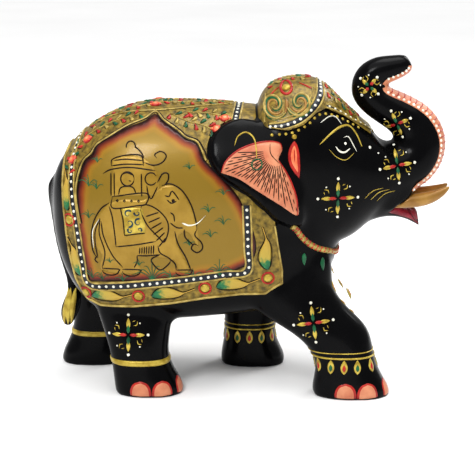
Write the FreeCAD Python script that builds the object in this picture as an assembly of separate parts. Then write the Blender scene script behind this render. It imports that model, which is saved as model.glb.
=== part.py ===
"""Carved wooden elephant with its trunk raised, lacquered, with raised paste work and two separate tusks.

The origin is on the floor under the middle of the figure.  +X is forward (head), +Z is up, and the
elephant's right flank faces -Y.  Every length is in millimetres.
"""
import FreeCAD, Part
import math
import os

V = FreeCAD.Vector

# ---- driving dimensions -------------------------------------------------------------------------
CENTRE_SHIFT = 1.75         # from the drawing's zero line to the middle of the finished length
CORE_HEIGHT = 110           # nothing above this height has its core any higher
RING_POINTS = 24            # points that each body section is drawn through

# barrel of the body: station x, underside z, top z, half width
BARREL = [
    (-98.5, 88, 99, 5), (-97, 80, 104, 12), (-94, 66, 111.5, 20), (-89, 54, 118.5, 26.5),
    (-82, 44, 125.5, 31.5), (-72, 37, 132, 35.5), (-57, 34, 138, 38), (-38, 34, 140, 38.5),
    (-18, 35.5, 139.5, 37.5), (-4, 37, 138.5, 36), (8, 39, 137, 34), (20, 43, 133, 31.5),
    (30, 50, 127, 28), (38, 58, 118, 22), (42, 66, 108, 14),
]
BACK_ROUNDNESS = 2.35       # superellipse power over the back
BELLY_ROUNDNESS = 3.4       # and under the belly, where the block was left squarer
HEAD_ROUNDNESS = 2.2
MUZZLE_ROUNDNESS = 3.0
LEG_ROUNDNESS = 2.4

# head: centre x, centre z, facing angle in degrees, half height, half width
HEAD = [
    (8, 105, 8, 34, 31), (22, 110, 12, 41, 31), (32, 111.5, 13, 41.5, 30.5), (42, 113, 14, 38.5, 28.5),
    (51, 113, 17, 31, 25.5), (61, 112.5, 24, 23.5, 21), (71, 112, 40, 17, 17),
]
# trunk, from the face to the tip: the same five values
TRUNK = [
    (66, 110.5, 30, 18.5, 17.5), (75, 111.5, 47, 15, 15.5), (81, 116, 70, 13.2, 13.8),
    (82.3, 122, 95, 12.4, 12.6), (79, 129.5, 125, 11.2, 11.2), (71.5, 135.5, 148, 9.6, 9.8),
    (62.5, 140.5, 142, 8.6, 9), (56.8, 147, 104, 8.2, 8.4), (58.2, 153, 62, 7.4, 7.8),
    (63.5, 156, 30, 7, 7.4), (69.5, 157.6, 24, 6, 6.6), (75, 159.6, 30, 4.4, 5.2),
    (76.6, 160.4, 30, 2.4, 3.2),
]
# muzzle, in the same five values: ends in the slanted face that the tusks and the lower jaw come out of
MUZZLE = [(60, 106, -48, 16, 17), (68, 98.4, -48, 13.4, 15), (74.2, 92.8, -48, 10.2, 12.4)]
JAW = [(50, 86, 0, 10, 13), (62, 88, -6, 5.4, 10.5), (71, 87.2, -12, 3.4, 7.5), (78, 85.4, -14, 3.3, 5),
       (82.8, 83.2, 10, 4.7, 2.4)]

# legs: height z, centre x, centre y, half length along x, half width
LEG_NEAR_HIND = [(0, -49.5, 24.5, 16.5, 12.5), (6, -50.5, 24.5, 16.2, 12.8), (14, -53, 24.3, 14.6, 12),
                 (22, -54.5, 23.8, 14.6, 11.6), (33, -55.5, 22.5, 16.8, 11), (44, -57, 20.5, 19, 10.5),
                 (60, -58, 19, 22, 11)]
LEG_FAR_HIND = [(0, -84, 24.5, 16, 12.5), (6, -83.5, 24.5, 15.6, 12.8), (14, -81.5, 24.3, 14, 12),
                (22, -79.5, 23.8, 14, 11.6), (33, -76.5, 22.5, 16, 11), (44, -73.5, 20.5, 18, 10.5),
                (60, -68, 19, 20, 11)]
LEG_NEAR_FRONT = [(0, 50, 24.5, 18.5, 12.5), (6, 49, 24.5, 17.6, 12.8), (14, 47.5, 24.3, 15.2, 12),
                  (22, 45, 23.8, 15.5, 11.8), (31, 39, 23, 19, 12), (41, 26.5, 21, 22.5, 12.5),
                  (54, 17.5, 18.5, 23, 13), (72, 14, 16.5, 21, 13.5)]
LEG_FAR_FRONT = [(0, 0.5, 24.5, 16.5, 12.5), (6, 0, 24.5, 15.9, 12.8), (14, -1, 24.3, 13.6, 12),
                 (22, -1, 23.8, 13.2, 11.6), (33, 0, 22.5, 15, 11.5), (44, 2, 20.5, 18, 11.5),
                 (60, 4, 18, 20, 12)]

# tail, from the croup to the tuft: centre x, centre z, facing angle, radius
TAIL = [(-93, 110, -125, 2.4), (-97.6, 100, -98, 2.9), (-97.4, 86, -88, 3), (-95.8, 73, -82, 2.9),
        (-93.6, 62, -76, 2.8), (-90.4, 50, -74, 2.8), (-89.6, 43, -96, 3.6), (-91.6, 35, -105, 4.6),
        (-93, 29, -95, 3.4), (-93.2, 25.5, -90, 1.2)]

# ears: outline in the side view, and the swelling form that their faces lie on
EAR_OUTLINE = [(20, 131), (4, 134), (-6, 135), (-14, 131.5), (-18.5, 124), (-16, 114), (-5, 105.5), (8, 95),
               (20, 85.5), (25, 85.5), (26, 94), (22, 104), (18, 113), (20, 122)]
EAR_FORM_CENTRE = (-12, 92)
EAR_FORM_RADII = (60, 42.5, 53)
EAR_REACH = (20, 60)        # nearest and farthest that an ear comes to the middle plane

# applied paste layers and raised lines
CLOTH_THICKNESS = 1.0
CAP_THICKNESS = 1.2
HEM_RADIUS = 0.75
CORD_RADIUS = 0.5
FINE_CORD_RADIUS = 0.4
ARC_REACH = 0.45            # share of the shorter run that each bend of a cord takes up
LEAST_TURN = math.radians(1.5)
BAND_HALF_WIDTH = 1.9       # from the middle of a dotted band to the cord on either side of it
DOT_RADIUS = 0.8
DOT_HEIGHT = 0.5
CLOTH_DOT_SPACING = 3.6
CAP_DOT_SPACING = 3.2

# side view of the two paste layers: the cloth ends along its own hem and then up the neck
NECK_EDGE = [(9, 108), (4, 134)]
ABOVE_BACK = 150
CAP_OUTLINE = [
    (1.5, 150), (3.5, 134), (8, 131.6), (18, 130.6), (25, 133), (31.5, 138.5), (36, 140.4), (45, 136),
    (54, 129.6), (57.5, 127), (62, 131), (58, 150), (30, 165),
]

# lines on the right flank as rough points (x, y, z), which are dropped on to the surface below them
HEM_LINE = [
    (-88, 0, 121), (-90, -10, 115), (-90, -22, 103), (-89, -28, 88), (-87, -28, 72), (-84, -28, 58),
    (-79, -28, 48), (-72, -30, 45), (-56, -33, 45.4), (-38, -34, 47.4), (-20, -34, 50.4), (-4, -33, 52),
    (9, -32, 51.4), (16, -31, 53.6), (16, -32, 64), (14, -33, 76), (12.4, -33, 86),
]
BAND_LINE = [
    (-82, 0, 126.5), (-83, -12, 123.4), (-84.6, -22, 114), (-84, -29, 98), (-82, -32, 82), (-79.6, -32, 67),
    (-77, -31, 56.6), (-66, -34, 56.2), (-48, -36, 58), (-30, -37, 60), (-12, -36, 62.4), (-1, -35, 64),
    (-0.6, -36, 76), (-1.4, -35, 96),
]
NECK_BAND_LINE = [(-7, -27, 134.5), (-6.6, -18, 137), (-6, -8, 138.6), (-6, 0, 139)]
ARCH_LINE = [
    (-79.6, -31.5, 86), (-81.8, -29, 101), (-79, -26, 114), (-75, -25.6, 118), (-73, -25, 123),
    (-66, -24, 126.8), (-58, -22, 131), (-50, -20, 134), (-45.4, -16.4, 136.8), (-41, -21.6, 133.4),
    (-34, -26, 129.4), (-30, -28.4, 126.6), (-25, -29.6, 125), (-22.4, -31.4, 121), (-20.4, -33, 116.6),
]
SPINE_LINE = [
    (-79, -3, 128.6), (-70, -8, 133), (-58, -13, 136.2), (-46, -15.4, 137.4), (-34, -14, 138),
    (-22, -10, 138.8), (-11, -5, 139.4),
]
COLLAR_LINE = [
    (20, -32, 88), (24, -31, 81), (28.6, -28.6, 76), (33.6, -24, 72.4), (38, -17, 70), (40.6, -9, 69),
    (41.4, 0, 69),
]
CAP_BAND_LINE = [
    (7, -30, 133.6), (15, -28.4, 132.8), (23, -26.4, 134.8), (29.4, -23, 139.6), (32.6, -18, 144.6),
    (33.4, -9, 149.8), (33.6, 0, 151.6),
]
DRAPE_LINE = [(36, -20.6, 141), (43, -17.6, 138), (50, -13.6, 133.4), (56.4, -8, 128.4), (60, -2, 127)]
EAR_SCROLL_LINE = [(-7, -37, 124), (-5.4, -37, 128), (-1.6, -36, 129.6), (1.8, -36.6, 127), (1.6, -38, 120)]

# round and leaf-shaped reliefs on the right flank: place and turn in degrees in the side view
MEDALLION_RADIUS = 3.1
MEDALLION_HEIGHT = 1.1
MEDALLIONS = [(-86.4, -29, 87), (-79.4, -28, 51), (-53, -35, 51.2), (-21, -35, 55.6), (9, -33, 60)]
LEAF_LENGTH = 17
LEAF_WIDTH = 4.6
LEAF_HEIGHT = 0.8
LEAVES = [(-88.4, -25, 103, 92), (-84.4, -30, 69, 108), (-66.6, -34, 50.6, 2), (-37, -35, 52.8, 8),
          (-6, -35, 57.4, 4), (8, -34, 74, 92)]
FLOWER_RADIUS = 2.3
FLOWERS = [(-12, -19, 135.6), (-15.6, -25, 131.8), (-78, -19, 124.4), (-77.4, -24, 119)]
SCROLLS = [(-20, -29, 126), (-60, -18, 133.6), (-30, -23, 132)]
SCROLL_RADIUS = 2.8
SCROLL_TURNS = 1.4
ROSETTE_PLACE = (-46, 0, 141)
ROSETTE_REACH = 4.6
ROSETTE_WAYS = [(1, 0.6), (1, -0.6), (-1, 0.6), (-1, -0.6)]
BOSS_PLACE = (17, -13, 149)
BOSS_RADIUS = 3.4
CAP_SCROLLS = [(11, -20, 142.4), (24.6, -19, 143.6)]
CAP_SCROLL_RADIUS = 4.4
CAP_SCROLL_TURNS = 1.3
FRINGE_LINE = [(9, -31, 130), (19, -29, 129.4), (27, -27, 133), (33.6, -24, 138)]
CHEEK_DROP = (22.6, -31, 116.6)
CHEEK_DROP_SIZE = (17, 6.4, 0.7)
CHEEK_DROP_TURN = 98
CHEEK_BEAD = (21.2, -31, 128)

# four-petalled enamel motifs: place, arm length, and the surface that they lie on
MOTIF_ARM = 6.6
HEAD_MOTIFS = [(42, -28, 98)]
TRUNK_MOTIFS = [(71, -16, 111.6), (69.6, -10, 133), (56.4, -9, 147)]
HIND_LEG_MOTIF = (-58.5, -40, 31)
FRONT_LEG_MOTIF = (31, -40, 37)
PETAL_SIZE = (4.6, 2.6, 0.7)
TRUNK_DOT_TURN = -50        # place of the dot row round the trunk, in degrees below its side
TRUNK_DOT_SPACING = 3.2

# leg ornaments
BANGLE_WIDTH = 3.0
BANGLE_THICKNESS = 0.5
BANGLE_HEIGHT = 17.0
ANKLET_HEIGHT = 20.5
ANKLET_WIDTH = 0.9
DROP_SIZE = (6.2, 3.2, 0.6)
DROPS_PER_LEG = 8
DROP_GAP = 1                # between the anklet and the drops below it
DROP_SAG = 1                # how far below its middle a drop is widest

# tusks: centre x, centre z, facing angle, radius, distance from the middle plane
TUSK = [(70, 92.6, 4, 3.1, 8.6), (79, 93.2, 6, 3.4, 8.6), (86, 94.2, 12, 3.2, 7.6), (92, 96.2, 24, 2.4, 6),
        (97.5, 99.6, 38, 0.5, 4.2)]
TENON_RADIUS = 2.2
TENON_LENGTH = 12
TENON_START = (61.5, 92)    # the tenon runs level and along the figure
COLLAR_RADIUS = 1.5
PENDANTS = [(26.6, -30, 68.4), (34, -24, 65)]


BEYOND = 150                # reaches past the figure from anywhere in it
POINTS_PER_TURN = 8         # of a scroll
SCROLL_CLOSING = 0.75       # share of its radius that a scroll loses on its way in

# ---- drawing helpers ----------------------------------------------------------------------------
def rounded(value, power):
    """Cosine or sine value bent into a superellipse of the given power."""
    return math.copysign(abs(value) ** (2 / power), value)


def closed_wire(points):
    curve = Part.BSplineCurve()
    curve.interpolate(points, PeriodicFlag=True)
    return Part.Wire([curve.toShape()])


def barrel_ring(x, low, high, half_width, grow=0.0):
    """Upright section of the barrel, squarer below the middle than above it."""
    middle = (low + high) / 2
    half_height = (high - low) / 2 + grow
    points = []
    for step in range(RING_POINTS):
        turn = 2 * math.pi * step / RING_POINTS
        power = BACK_ROUNDNESS if math.sin(turn) > 0 else BELLY_ROUNDNESS
        points.append(V(x, (half_width + grow) * rounded(math.cos(turn), power),
                        middle + half_height * rounded(math.sin(turn), power)))
    return closed_wire(points)


def tilted_ring(x, z, facing, half_height, half_width, y=0.0, power=2.0):
    """Section across a limb that runs in the facing direction of the side view."""
    angle = math.radians(facing)
    up = (-math.sin(angle), math.cos(angle))
    points = []
    for step in range(RING_POINTS):
        turn = 2 * math.pi * step / RING_POINTS
        rise = half_height * rounded(math.sin(turn), power)
        points.append(V(x + up[0] * rise, y + half_width * rounded(math.cos(turn), power), z + up[1] * rise))
    return closed_wire(points)


def level_ring(z, x, y, half_length, half_width):
    points = []
    for step in range(RING_POINTS):
        turn = 2 * math.pi * step / RING_POINTS
        points.append(V(x + half_length * rounded(math.cos(turn), LEG_ROUNDNESS),
                        y + half_width * rounded(math.sin(turn), LEG_ROUNDNESS), z))
    return closed_wire(points)


def loft(wires):
    return Part.makeLoft(wires, True, False)


def side_prism(outline, y_from, y_to):
    """Smooth closed outline of the side view, pulled through from y_from to y_to."""
    face = Part.Face(closed_wire([V(x, y_from, z) for x, z in outline]))
    return face.extrude(V(0, y_to - y_from, 0))


# ---- the carved block ---------------------------------------------------------------------------
def barrel(grow=0.0):
    return loft([barrel_ring(*station, grow=grow) for station in BARREL])


def head(grow=0.0):
    return loft([tilted_ring(x, z, facing, height + grow, width + grow, power=HEAD_ROUNDNESS)
                 for x, z, facing, height, width in HEAD])


def trunk():
    return loft([tilted_ring(*station) for station in TRUNK])


def muzzle():
    return loft([tilted_ring(*station, power=MUZZLE_ROUNDNESS) for station in MUZZLE])


def jaw():
    return loft([tilted_ring(*station) for station in JAW])


def leg(stations, side, grow=0.0):
    return loft([level_ring(z, x, side * y, length + grow, width + grow)
                 for z, x, y, length, width in stations])


def tail():
    return loft([tilted_ring(x, z, facing, radius, radius) for x, z, facing, radius in TAIL])


def ear_form():
    form = Part.makeSphere(1)
    stretch = FreeCAD.Matrix()
    stretch.scale(*EAR_FORM_RADII)
    form = form.transformGeometry(stretch)
    form.translate(V(EAR_FORM_CENTRE[0], 0, EAR_FORM_CENTRE[1]))
    return form


def ear(side):
    """Raised ear: the part of a swelling form that lies inside the ear's outline."""
    nearest, farthest = EAR_REACH
    return side_prism(EAR_OUTLINE, side * nearest, side * farthest).common(ear_form())


def tenon(side):
    start = V(TENON_START[0], side * TUSK[0][-1], TENON_START[1])
    return Part.makeCylinder(TENON_RADIUS, TENON_LENGTH, start, V(1, 0, 0))


def carved_body():
    limbs = [
        head(), trunk(), muzzle(), jaw(), tail(), ear(-1), ear(1),
        leg(LEG_NEAR_HIND, -1), leg(LEG_FAR_HIND, 1), leg(LEG_NEAR_FRONT, -1), leg(LEG_FAR_FRONT, 1),
    ]
    block = barrel().fuse(limbs)
    return block.cut([tenon(-1), tenon(1)])


def tusk(side, block):
    """Separate horn-shaped tusk whose tenon is glued into a socket drilled in the muzzle."""
    horn = loft([tilted_ring(x, z, facing, radius, radius, y=side * y) for x, z, facing, radius, y in TUSK])
    return horn.cut(block).fuse(tenon(side))


# ---- placing ornaments on a surface --------------------------------------------------------------
def skin(solid):
    """Surface of the solid's largest face."""
    return max(solid.Faces, key=lambda face: face.Area).Surface


def drop(surface, rough):
    """Nearest point of the surface to a rough point, and the normal that points away from the core."""
    point = surface.projectPoint(V(*rough), "NearestPoint")
    normal = surface.normal(*surface.parameter(point))
    core = V(point.x, 0, min(point.z, CORE_HEIGHT))
    if normal.dot(point - core) < 0:
        normal = normal * -1
    return point, normal


def mirrored(shape):
    return shape.mirror(V(0, 0, 0), V(0, 1, 0))


def both_sides(shapes):
    return Part.makeCompound(shapes + [mirrored(shape) for shape in shapes])


def bends(corners):
    """The corners without those that hardly turn the route."""
    kept = [corners[0]]
    for corner, following in zip(corners[1:], corners[2:]):
        if (corner - kept[-1]).getAngle(following - corner) > LEAST_TURN:
            kept.append(corner)
    return kept + [corners[-1]]


def rounded_path(corners):
    """Straight runs through the corners, each bend an arc as large as the shorter run allows."""
    corners = bends(corners)
    edges = []
    start = corners[0]
    for before, corner, following in zip(corners, corners[1:], corners[2:]):
        reach = ARC_REACH * min((before - corner).Length, (following - corner).Length)
        back = (before - corner).normalize()
        ahead = (following - corner).normalize()
        half_turn = (math.pi - back.getAngle(ahead)) / 2
        radius = reach / math.tan(half_turn)
        inward = (back + ahead).normalize()
        crest = corner + inward * (radius / math.cos(half_turn) - radius)
        edges.append(Part.LineSegment(start, corner + back * reach).toShape())
        edges.append(Part.Arc(corner + back * reach, crest, corner + ahead * reach).toShape())
        start = corner + ahead * reach
    edges.append(Part.LineSegment(start, corners[-1]).toShape())
    return Part.Wire(edges)


def cord(corners, radius):
    """Round cord along a route of straight runs and arcs."""
    path = rounded_path(corners)
    section = Part.Wire([Part.Circle(corners[0], corners[1] - corners[0], radius).toShape()])
    return path.makePipeShell([section], True, False)


def laid_cord(surface, line, radius):
    """Cord laid on the surface along a rough line."""
    seats = [drop(surface, rough) for rough in line]
    return cord([point + normal * radius for point, normal in seats], radius)


def across(line):
    """A right-hand line that ends on the middle plane, carried on down the other side."""
    return line + [(x, -y, z) for x, y, z in reversed(line[:-1])]


def beside(line, offset):
    """The same rough line moved sideways in the side view."""
    moved = []
    for index, (x, y, z) in enumerate(line):
        before = line[max(index - 1, 0)]
        after = line[min(index + 1, len(line) - 1)]
        ahead, rise = after[0] - before[0], after[2] - before[2]
        run = math.hypot(ahead, rise) or 1
        moved.append((x - offset * rise / run, y, z + offset * ahead / run))
    return moved


def spaced(line, spacing):
    """Points at an even spacing along a rough line."""
    curve = Part.BSplineCurve()
    curve.interpolate([V(*point) for point in line])
    count = int(curve.length() / spacing)
    return [tuple(curve.value(curve.parameterAtDistance((step + 0.5) * curve.length() / count)))
            for step in range(count)]


def dome(surface, rough, radius, height):
    """Low round button with a flat back, seated on the surface."""
    point, normal = drop(surface, rough)
    ball_radius = (radius * radius + height * height) / (2 * height)
    lowest = math.degrees(math.asin((ball_radius - height) / ball_radius))
    return Part.makeSphere(ball_radius, point - normal * (ball_radius - height), normal, lowest, 90, 360)


def petal(surface, rough, size, turn):
    """Raised pointed petal: two arcs in the tangent plane, turned in the side view, with a flat top."""
    length, width, height = size
    point, normal = drop(surface, rough)
    angle = math.radians(turn)
    wanted = V(math.cos(angle), 0, math.sin(angle))
    along = (wanted - normal * wanted.dot(normal)).normalize()
    sideways = normal.cross(along)
    tip = point + along * (length / 2)
    root = point - along * (length / 2)
    edges = [Part.Arc(root, point + sideways * (half * width / 2), tip).toShape() for half in (1, -1)]
    return Part.Face(Part.Wire(edges)).extrude(normal * height)


def spiral(surface, rough, radius, turns, cord_radius):
    """Scroll that winds in towards its middle."""
    steps = int(turns * POINTS_PER_TURN)
    line = []
    for step in range(steps + 1):
        angle = 2 * math.pi * step / POINTS_PER_TURN
        reach = radius * (1 - SCROLL_CLOSING * step / steps)
        line.append((rough[0] + reach * math.cos(angle), rough[1], rough[2] + reach * math.sin(angle)))
    return laid_cord(surface, line, cord_radius)


def motif(surface, rough):
    """Cross of four petals with a bead beyond each one."""
    pieces = []
    for quarter in range(4):
        turn = 90 * quarter
        way = (math.cos(math.radians(turn)), math.sin(math.radians(turn)))
        middle = (rough[0] + way[0] * MOTIF_ARM / 2, rough[1], rough[2] + way[1] * MOTIF_ARM / 2)
        bead = (rough[0] + way[0] * MOTIF_ARM, rough[1], rough[2] + way[1] * MOTIF_ARM)
        pieces.append(petal(surface, middle, PETAL_SIZE, turn))
        pieces.append(dome(surface, bead, DOT_RADIUS, DOT_HEIGHT))
    return pieces


# ---- the cloth and its ornaments -----------------------------------------------------------------
def paste_layer(form, outline, block):
    """Thin layer over the block: a grown form, trimmed to the outline, less the block itself."""
    corners = [V(x, -BEYOND, z) for x, z in outline]
    trim = Part.Face(Part.makePolygon(corners + corners[:1])).extrude(V(0, 2 * BEYOND, 0))
    layer = form.common(trim).cut(block)
    return max(layer.Solids, key=lambda solid: solid.Volume)


def cloth_outline():
    """Side view of the cloth: along the hem, up the neck and closed above the back."""
    hem = [(x, z) for x, y, z in HEM_LINE]
    return hem + NECK_EDGE + [(NECK_EDGE[-1][0], ABOVE_BACK), (HEM_LINE[0][0], ABOVE_BACK)]


def cloth_nodes(surface):
    """Everything laid on the saddle cloth; `surface` is the cloth's outer face."""
    rim, inset = [laid_cord(surface, across(beside(BAND_LINE, offset)[::-1]), CORD_RADIUS)
                  for offset in (-BAND_HALF_WIDTH, BAND_HALF_WIDTH)]
    neck = [laid_cord(surface, across(beside(NECK_BAND_LINE, offset)), CORD_RADIUS)
            for offset in (-BAND_HALF_WIDTH, BAND_HALF_WIDTH)]
    dots = spaced(BAND_LINE[1:], CLOTH_DOT_SPACING) + spaced(NECK_BAND_LINE[:3], CLOTH_DOT_SPACING)
    arch = laid_cord(surface, ARCH_LINE, CORD_RADIUS)
    spine = laid_cord(surface, SPINE_LINE, CORD_RADIUS)
    rosette = [petal(surface, (ROSETTE_PLACE[0] + ROSETTE_REACH * x, ROSETTE_REACH * y, ROSETTE_PLACE[2]),
                     PETAL_SIZE, 0) for x, y in ROSETTE_WAYS]
    return {
        "hem_cord": laid_cord(surface, across(HEM_LINE[::-1]), HEM_RADIUS),
        "band_cord_outer": rim,
        "band_cord_inner": inset,
        "neck_band_cords": Part.makeCompound(neck),
        "arch_cord_right": arch,
        "arch_cord_left": mirrored(arch),
        "spine_cord_right": spine,
        "spine_cord_left": mirrored(spine),
        "cloth_band_dots": both_sides([dome(surface, spot, DOT_RADIUS, DOT_HEIGHT) for spot in dots]),
        "cloth_medallions": both_sides([dome(surface, spot, MEDALLION_RADIUS, MEDALLION_HEIGHT)
                                        for spot in MEDALLIONS]),
        "cloth_leaves": both_sides([petal(surface, (x, y, z), (LEAF_LENGTH, LEAF_WIDTH, LEAF_HEIGHT), turn)
                                    for x, y, z, turn in LEAVES]),
        "cloth_flowers": both_sides([dome(surface, spot, FLOWER_RADIUS, MEDALLION_HEIGHT)
                                     for spot in FLOWERS]),
        "cloth_scrolls": both_sides([spiral(surface, spot, SCROLL_RADIUS, SCROLL_TURNS, FINE_CORD_RADIUS)
                                     for spot in SCROLLS]),
        "spine_rosette": Part.makeCompound(rosette),
    }


# ---- the cap, the face and the trunk -------------------------------------------------------------
def cap_nodes(surface):
    """Everything laid on the gilded cap; `surface` is the cap's outer face."""
    brow = [laid_cord(surface, across(beside(CAP_BAND_LINE, offset)), CORD_RADIUS)
            for offset in (-BAND_HALF_WIDTH, BAND_HALF_WIDTH)]
    drape = laid_cord(surface, DRAPE_LINE, CORD_RADIUS)
    dots = spaced(CAP_BAND_LINE[:-1], CAP_DOT_SPACING) + spaced(DRAPE_LINE[:-1], CAP_DOT_SPACING)
    return {
        "cap_band_cords": Part.makeCompound(brow),
        "cap_drape_cords": both_sides([drape]),
        "cap_band_dots": both_sides([dome(surface, spot, DOT_RADIUS, DOT_HEIGHT) for spot in dots]),
        "cap_scrolls": both_sides([spiral(surface, spot, CAP_SCROLL_RADIUS, CAP_SCROLL_TURNS, CORD_RADIUS)
                                   for spot in CAP_SCROLLS]),
        "cap_bosses": both_sides([dome(surface, BOSS_PLACE, BOSS_RADIUS, MEDALLION_HEIGHT)]),
    }


def face_nodes(head_surface, ear_surface):
    return {
        "cap_fringe_dots": both_sides([dome(head_surface, spot, DOT_RADIUS, DOT_HEIGHT)
                                       for spot in spaced(FRINGE_LINE, CAP_DOT_SPACING)]),
        "cheek_drops": both_sides([petal(head_surface, CHEEK_DROP, CHEEK_DROP_SIZE, CHEEK_DROP_TURN),
                                   dome(head_surface, CHEEK_BEAD, DOT_RADIUS, DOT_HEIGHT)]),
        "cheek_motifs": both_sides(sum([motif(head_surface, spot) for spot in HEAD_MOTIFS], [])),
        "ear_scrolls": both_sides([laid_cord(ear_surface, EAR_SCROLL_LINE, FINE_CORD_RADIUS)]),
    }


def trunk_dot_line():
    """Rough row down the side of the trunk, just above its bare underside."""
    turn = math.radians(TRUNK_DOT_TURN)
    line = []
    for x, z, facing, half_height, half_width in TRUNK[1:-1]:
        angle = math.radians(facing)
        rise = half_height * math.sin(turn)
        line.append((x - math.sin(angle) * rise, -half_width * math.cos(turn), z + math.cos(angle) * rise))
    return line


def trunk_nodes(surface):
    return {
        "trunk_dots": both_sides([dome(surface, spot, DOT_RADIUS, DOT_HEIGHT)
                                  for spot in spaced(trunk_dot_line(), TRUNK_DOT_SPACING)]),
        "trunk_motifs": both_sides(sum([motif(surface, spot) for spot in TRUNK_MOTIFS], [])),
    }


# ---- the legs and the chest ----------------------------------------------------------------------
def station_at(stations, height):
    """Centre and half sizes of a leg at a height, straight between the stations on either side."""
    for lower, upper in zip(stations, stations[1:]):
        if lower[0] <= height <= upper[0]:
            share = (height - lower[0]) / (upper[0] - lower[0])
            return [a + share * (b - a) for a, b in zip(lower, upper)]
    raise ValueError(f"no station at height {height}")


def leg_band(stations, side, block, height, width, thickness):
    """Flat band round a leg."""
    grown = leg(stations, side, thickness)
    corner = V(-BEYOND, min(0, side * BEYOND), height - width / 2)
    slab = Part.makeBox(2 * BEYOND, BEYOND, width, corner)
    return grown.common(slab).cut(block)


def hanging_drop(point, normal):
    """Small teardrop that hangs flat against the surface at a point."""
    length, width, height = DROP_SIZE
    up = (V(0, 0, 1) - normal * normal.z).normalize()
    sideways = normal.cross(up)
    top = point + up * (length / 2)
    foot = point - up * (length / 2)
    widest = point - up * DROP_SAG
    edges = [Part.Arc(foot, widest + sideways * (half * width / 2), top).toShape() for half in (1, -1)]
    return Part.Face(Part.Wire(edges)).extrude(normal * height)


def anklet_drops(stations, side):
    """Teardrops that hang in a row below the anklet of a front leg."""
    surface = skin(leg(stations, side))
    height = ANKLET_HEIGHT - DROP_GAP - DROP_SIZE[0] / 2
    z, x, y, half_length, half_width = station_at(stations, height)
    drops = []
    for step in range(DROPS_PER_LEG):
        angle = 2 * math.pi * (step + 0.5) / DROPS_PER_LEG
        rough = V(x + half_length * math.cos(angle), side * y + half_width * math.sin(angle), z)
        point = surface.projectPoint(rough, "NearestPoint")
        normal = surface.normal(*surface.parameter(point))
        if normal.dot(point - V(x, side * y, z)) < 0:
            normal = normal * -1
        drops.append(hanging_drop(point, normal))
    return Part.makeCompound(drops)


def leg_nodes(block):
    bangle_form = (block, BANGLE_HEIGHT, BANGLE_WIDTH, BANGLE_THICKNESS)
    anklet_form = (block, ANKLET_HEIGHT, ANKLET_WIDTH, BANGLE_THICKNESS)
    motifs = motif(skin(leg(LEG_NEAR_HIND, -1)), HIND_LEG_MOTIF)
    motifs += motif(skin(leg(LEG_NEAR_FRONT, -1)), FRONT_LEG_MOTIF)
    return {
        "bangle_right_hind": leg_band(LEG_NEAR_HIND, -1, *bangle_form),
        "bangle_left_hind": leg_band(LEG_FAR_HIND, 1, *bangle_form),
        "anklet_right_front": leg_band(LEG_NEAR_FRONT, -1, *anklet_form),
        "anklet_left_front": leg_band(LEG_FAR_FRONT, 1, *anklet_form),
        "anklet_drops_right": anklet_drops(LEG_NEAR_FRONT, -1),
        "anklet_drops_left": anklet_drops(LEG_FAR_FRONT, 1),
        "leg_motifs": Part.makeCompound(motifs),
    }


def chest_nodes(surface):
    return {
        "collar": laid_cord(surface, across(COLLAR_LINE), COLLAR_RADIUS),
        "collar_pendants": both_sides([hanging_drop(*drop(surface, spot)) for spot in PENDANTS]),
    }


def main():
    block = carved_body()
    cloth_form = barrel(CLOTH_THICKNESS)
    cap_form = head(CAP_THICKNESS)
    nodes = {
        "carved_body": block,
        "tusk_right": tusk(-1, block),
        "tusk_left": tusk(1, block),
        "saddle_cloth": paste_layer(cloth_form, cloth_outline(), block),
        "head_cap": paste_layer(cap_form, CAP_OUTLINE, block),
    }
    nodes.update(cloth_nodes(skin(cloth_form)))
    nodes.update(cap_nodes(skin(cap_form)))
    nodes.update(face_nodes(skin(head()), skin(ear_form())))
    nodes.update(trunk_nodes(skin(trunk())))
    nodes.update(leg_nodes(block))
    nodes.update(chest_nodes(skin(barrel())))
    os.makedirs("parts", exist_ok=True)
    for name, shape in nodes.items():
        shape.translate(V(CENTRE_SHIFT, 0, 0))
        shape.exportStep(f"parts/{name}.step")


main()
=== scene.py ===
"""Looks of a carved wooden elephant: black lacquer, a gilded cloth and cap, raised paste lines and enamel.

Lengths are in millimetres until a piece becomes an object.  +X is forward, the right flank faces -Y and +Z
is up.  Routes are drawn on the right side and mirrored to the left where the figure is symmetrical.
"""
import random
from math import cos, pi, radians, sin, sqrt

import bmesh
import bpy
import numpy as np
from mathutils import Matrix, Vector
from mathutils.bvhtree import BVHTree
from mathutils.geometry import delaunay_2d_cdt


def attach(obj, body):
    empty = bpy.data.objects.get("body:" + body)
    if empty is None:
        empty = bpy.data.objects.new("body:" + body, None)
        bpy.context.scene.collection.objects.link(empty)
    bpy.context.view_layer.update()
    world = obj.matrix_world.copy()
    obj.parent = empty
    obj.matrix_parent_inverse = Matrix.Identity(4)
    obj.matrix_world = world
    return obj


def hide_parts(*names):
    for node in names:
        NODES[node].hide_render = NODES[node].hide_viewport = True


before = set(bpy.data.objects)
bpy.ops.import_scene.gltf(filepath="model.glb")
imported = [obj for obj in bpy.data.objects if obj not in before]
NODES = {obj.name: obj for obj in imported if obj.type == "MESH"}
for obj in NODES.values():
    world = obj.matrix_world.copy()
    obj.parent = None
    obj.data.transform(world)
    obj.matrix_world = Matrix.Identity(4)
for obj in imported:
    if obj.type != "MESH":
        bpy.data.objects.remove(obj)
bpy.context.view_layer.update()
MM = 0.001
CENTRE_SHIFT = 1.75         # from the drawing's zero line to the middle of the figure's length
CORE_HEIGHT = 110           # nothing above this height has its core any higher
FAR_AWAY = 120
LAYER_STEP = 2.0            # layers closer together than this count as one surface

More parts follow.
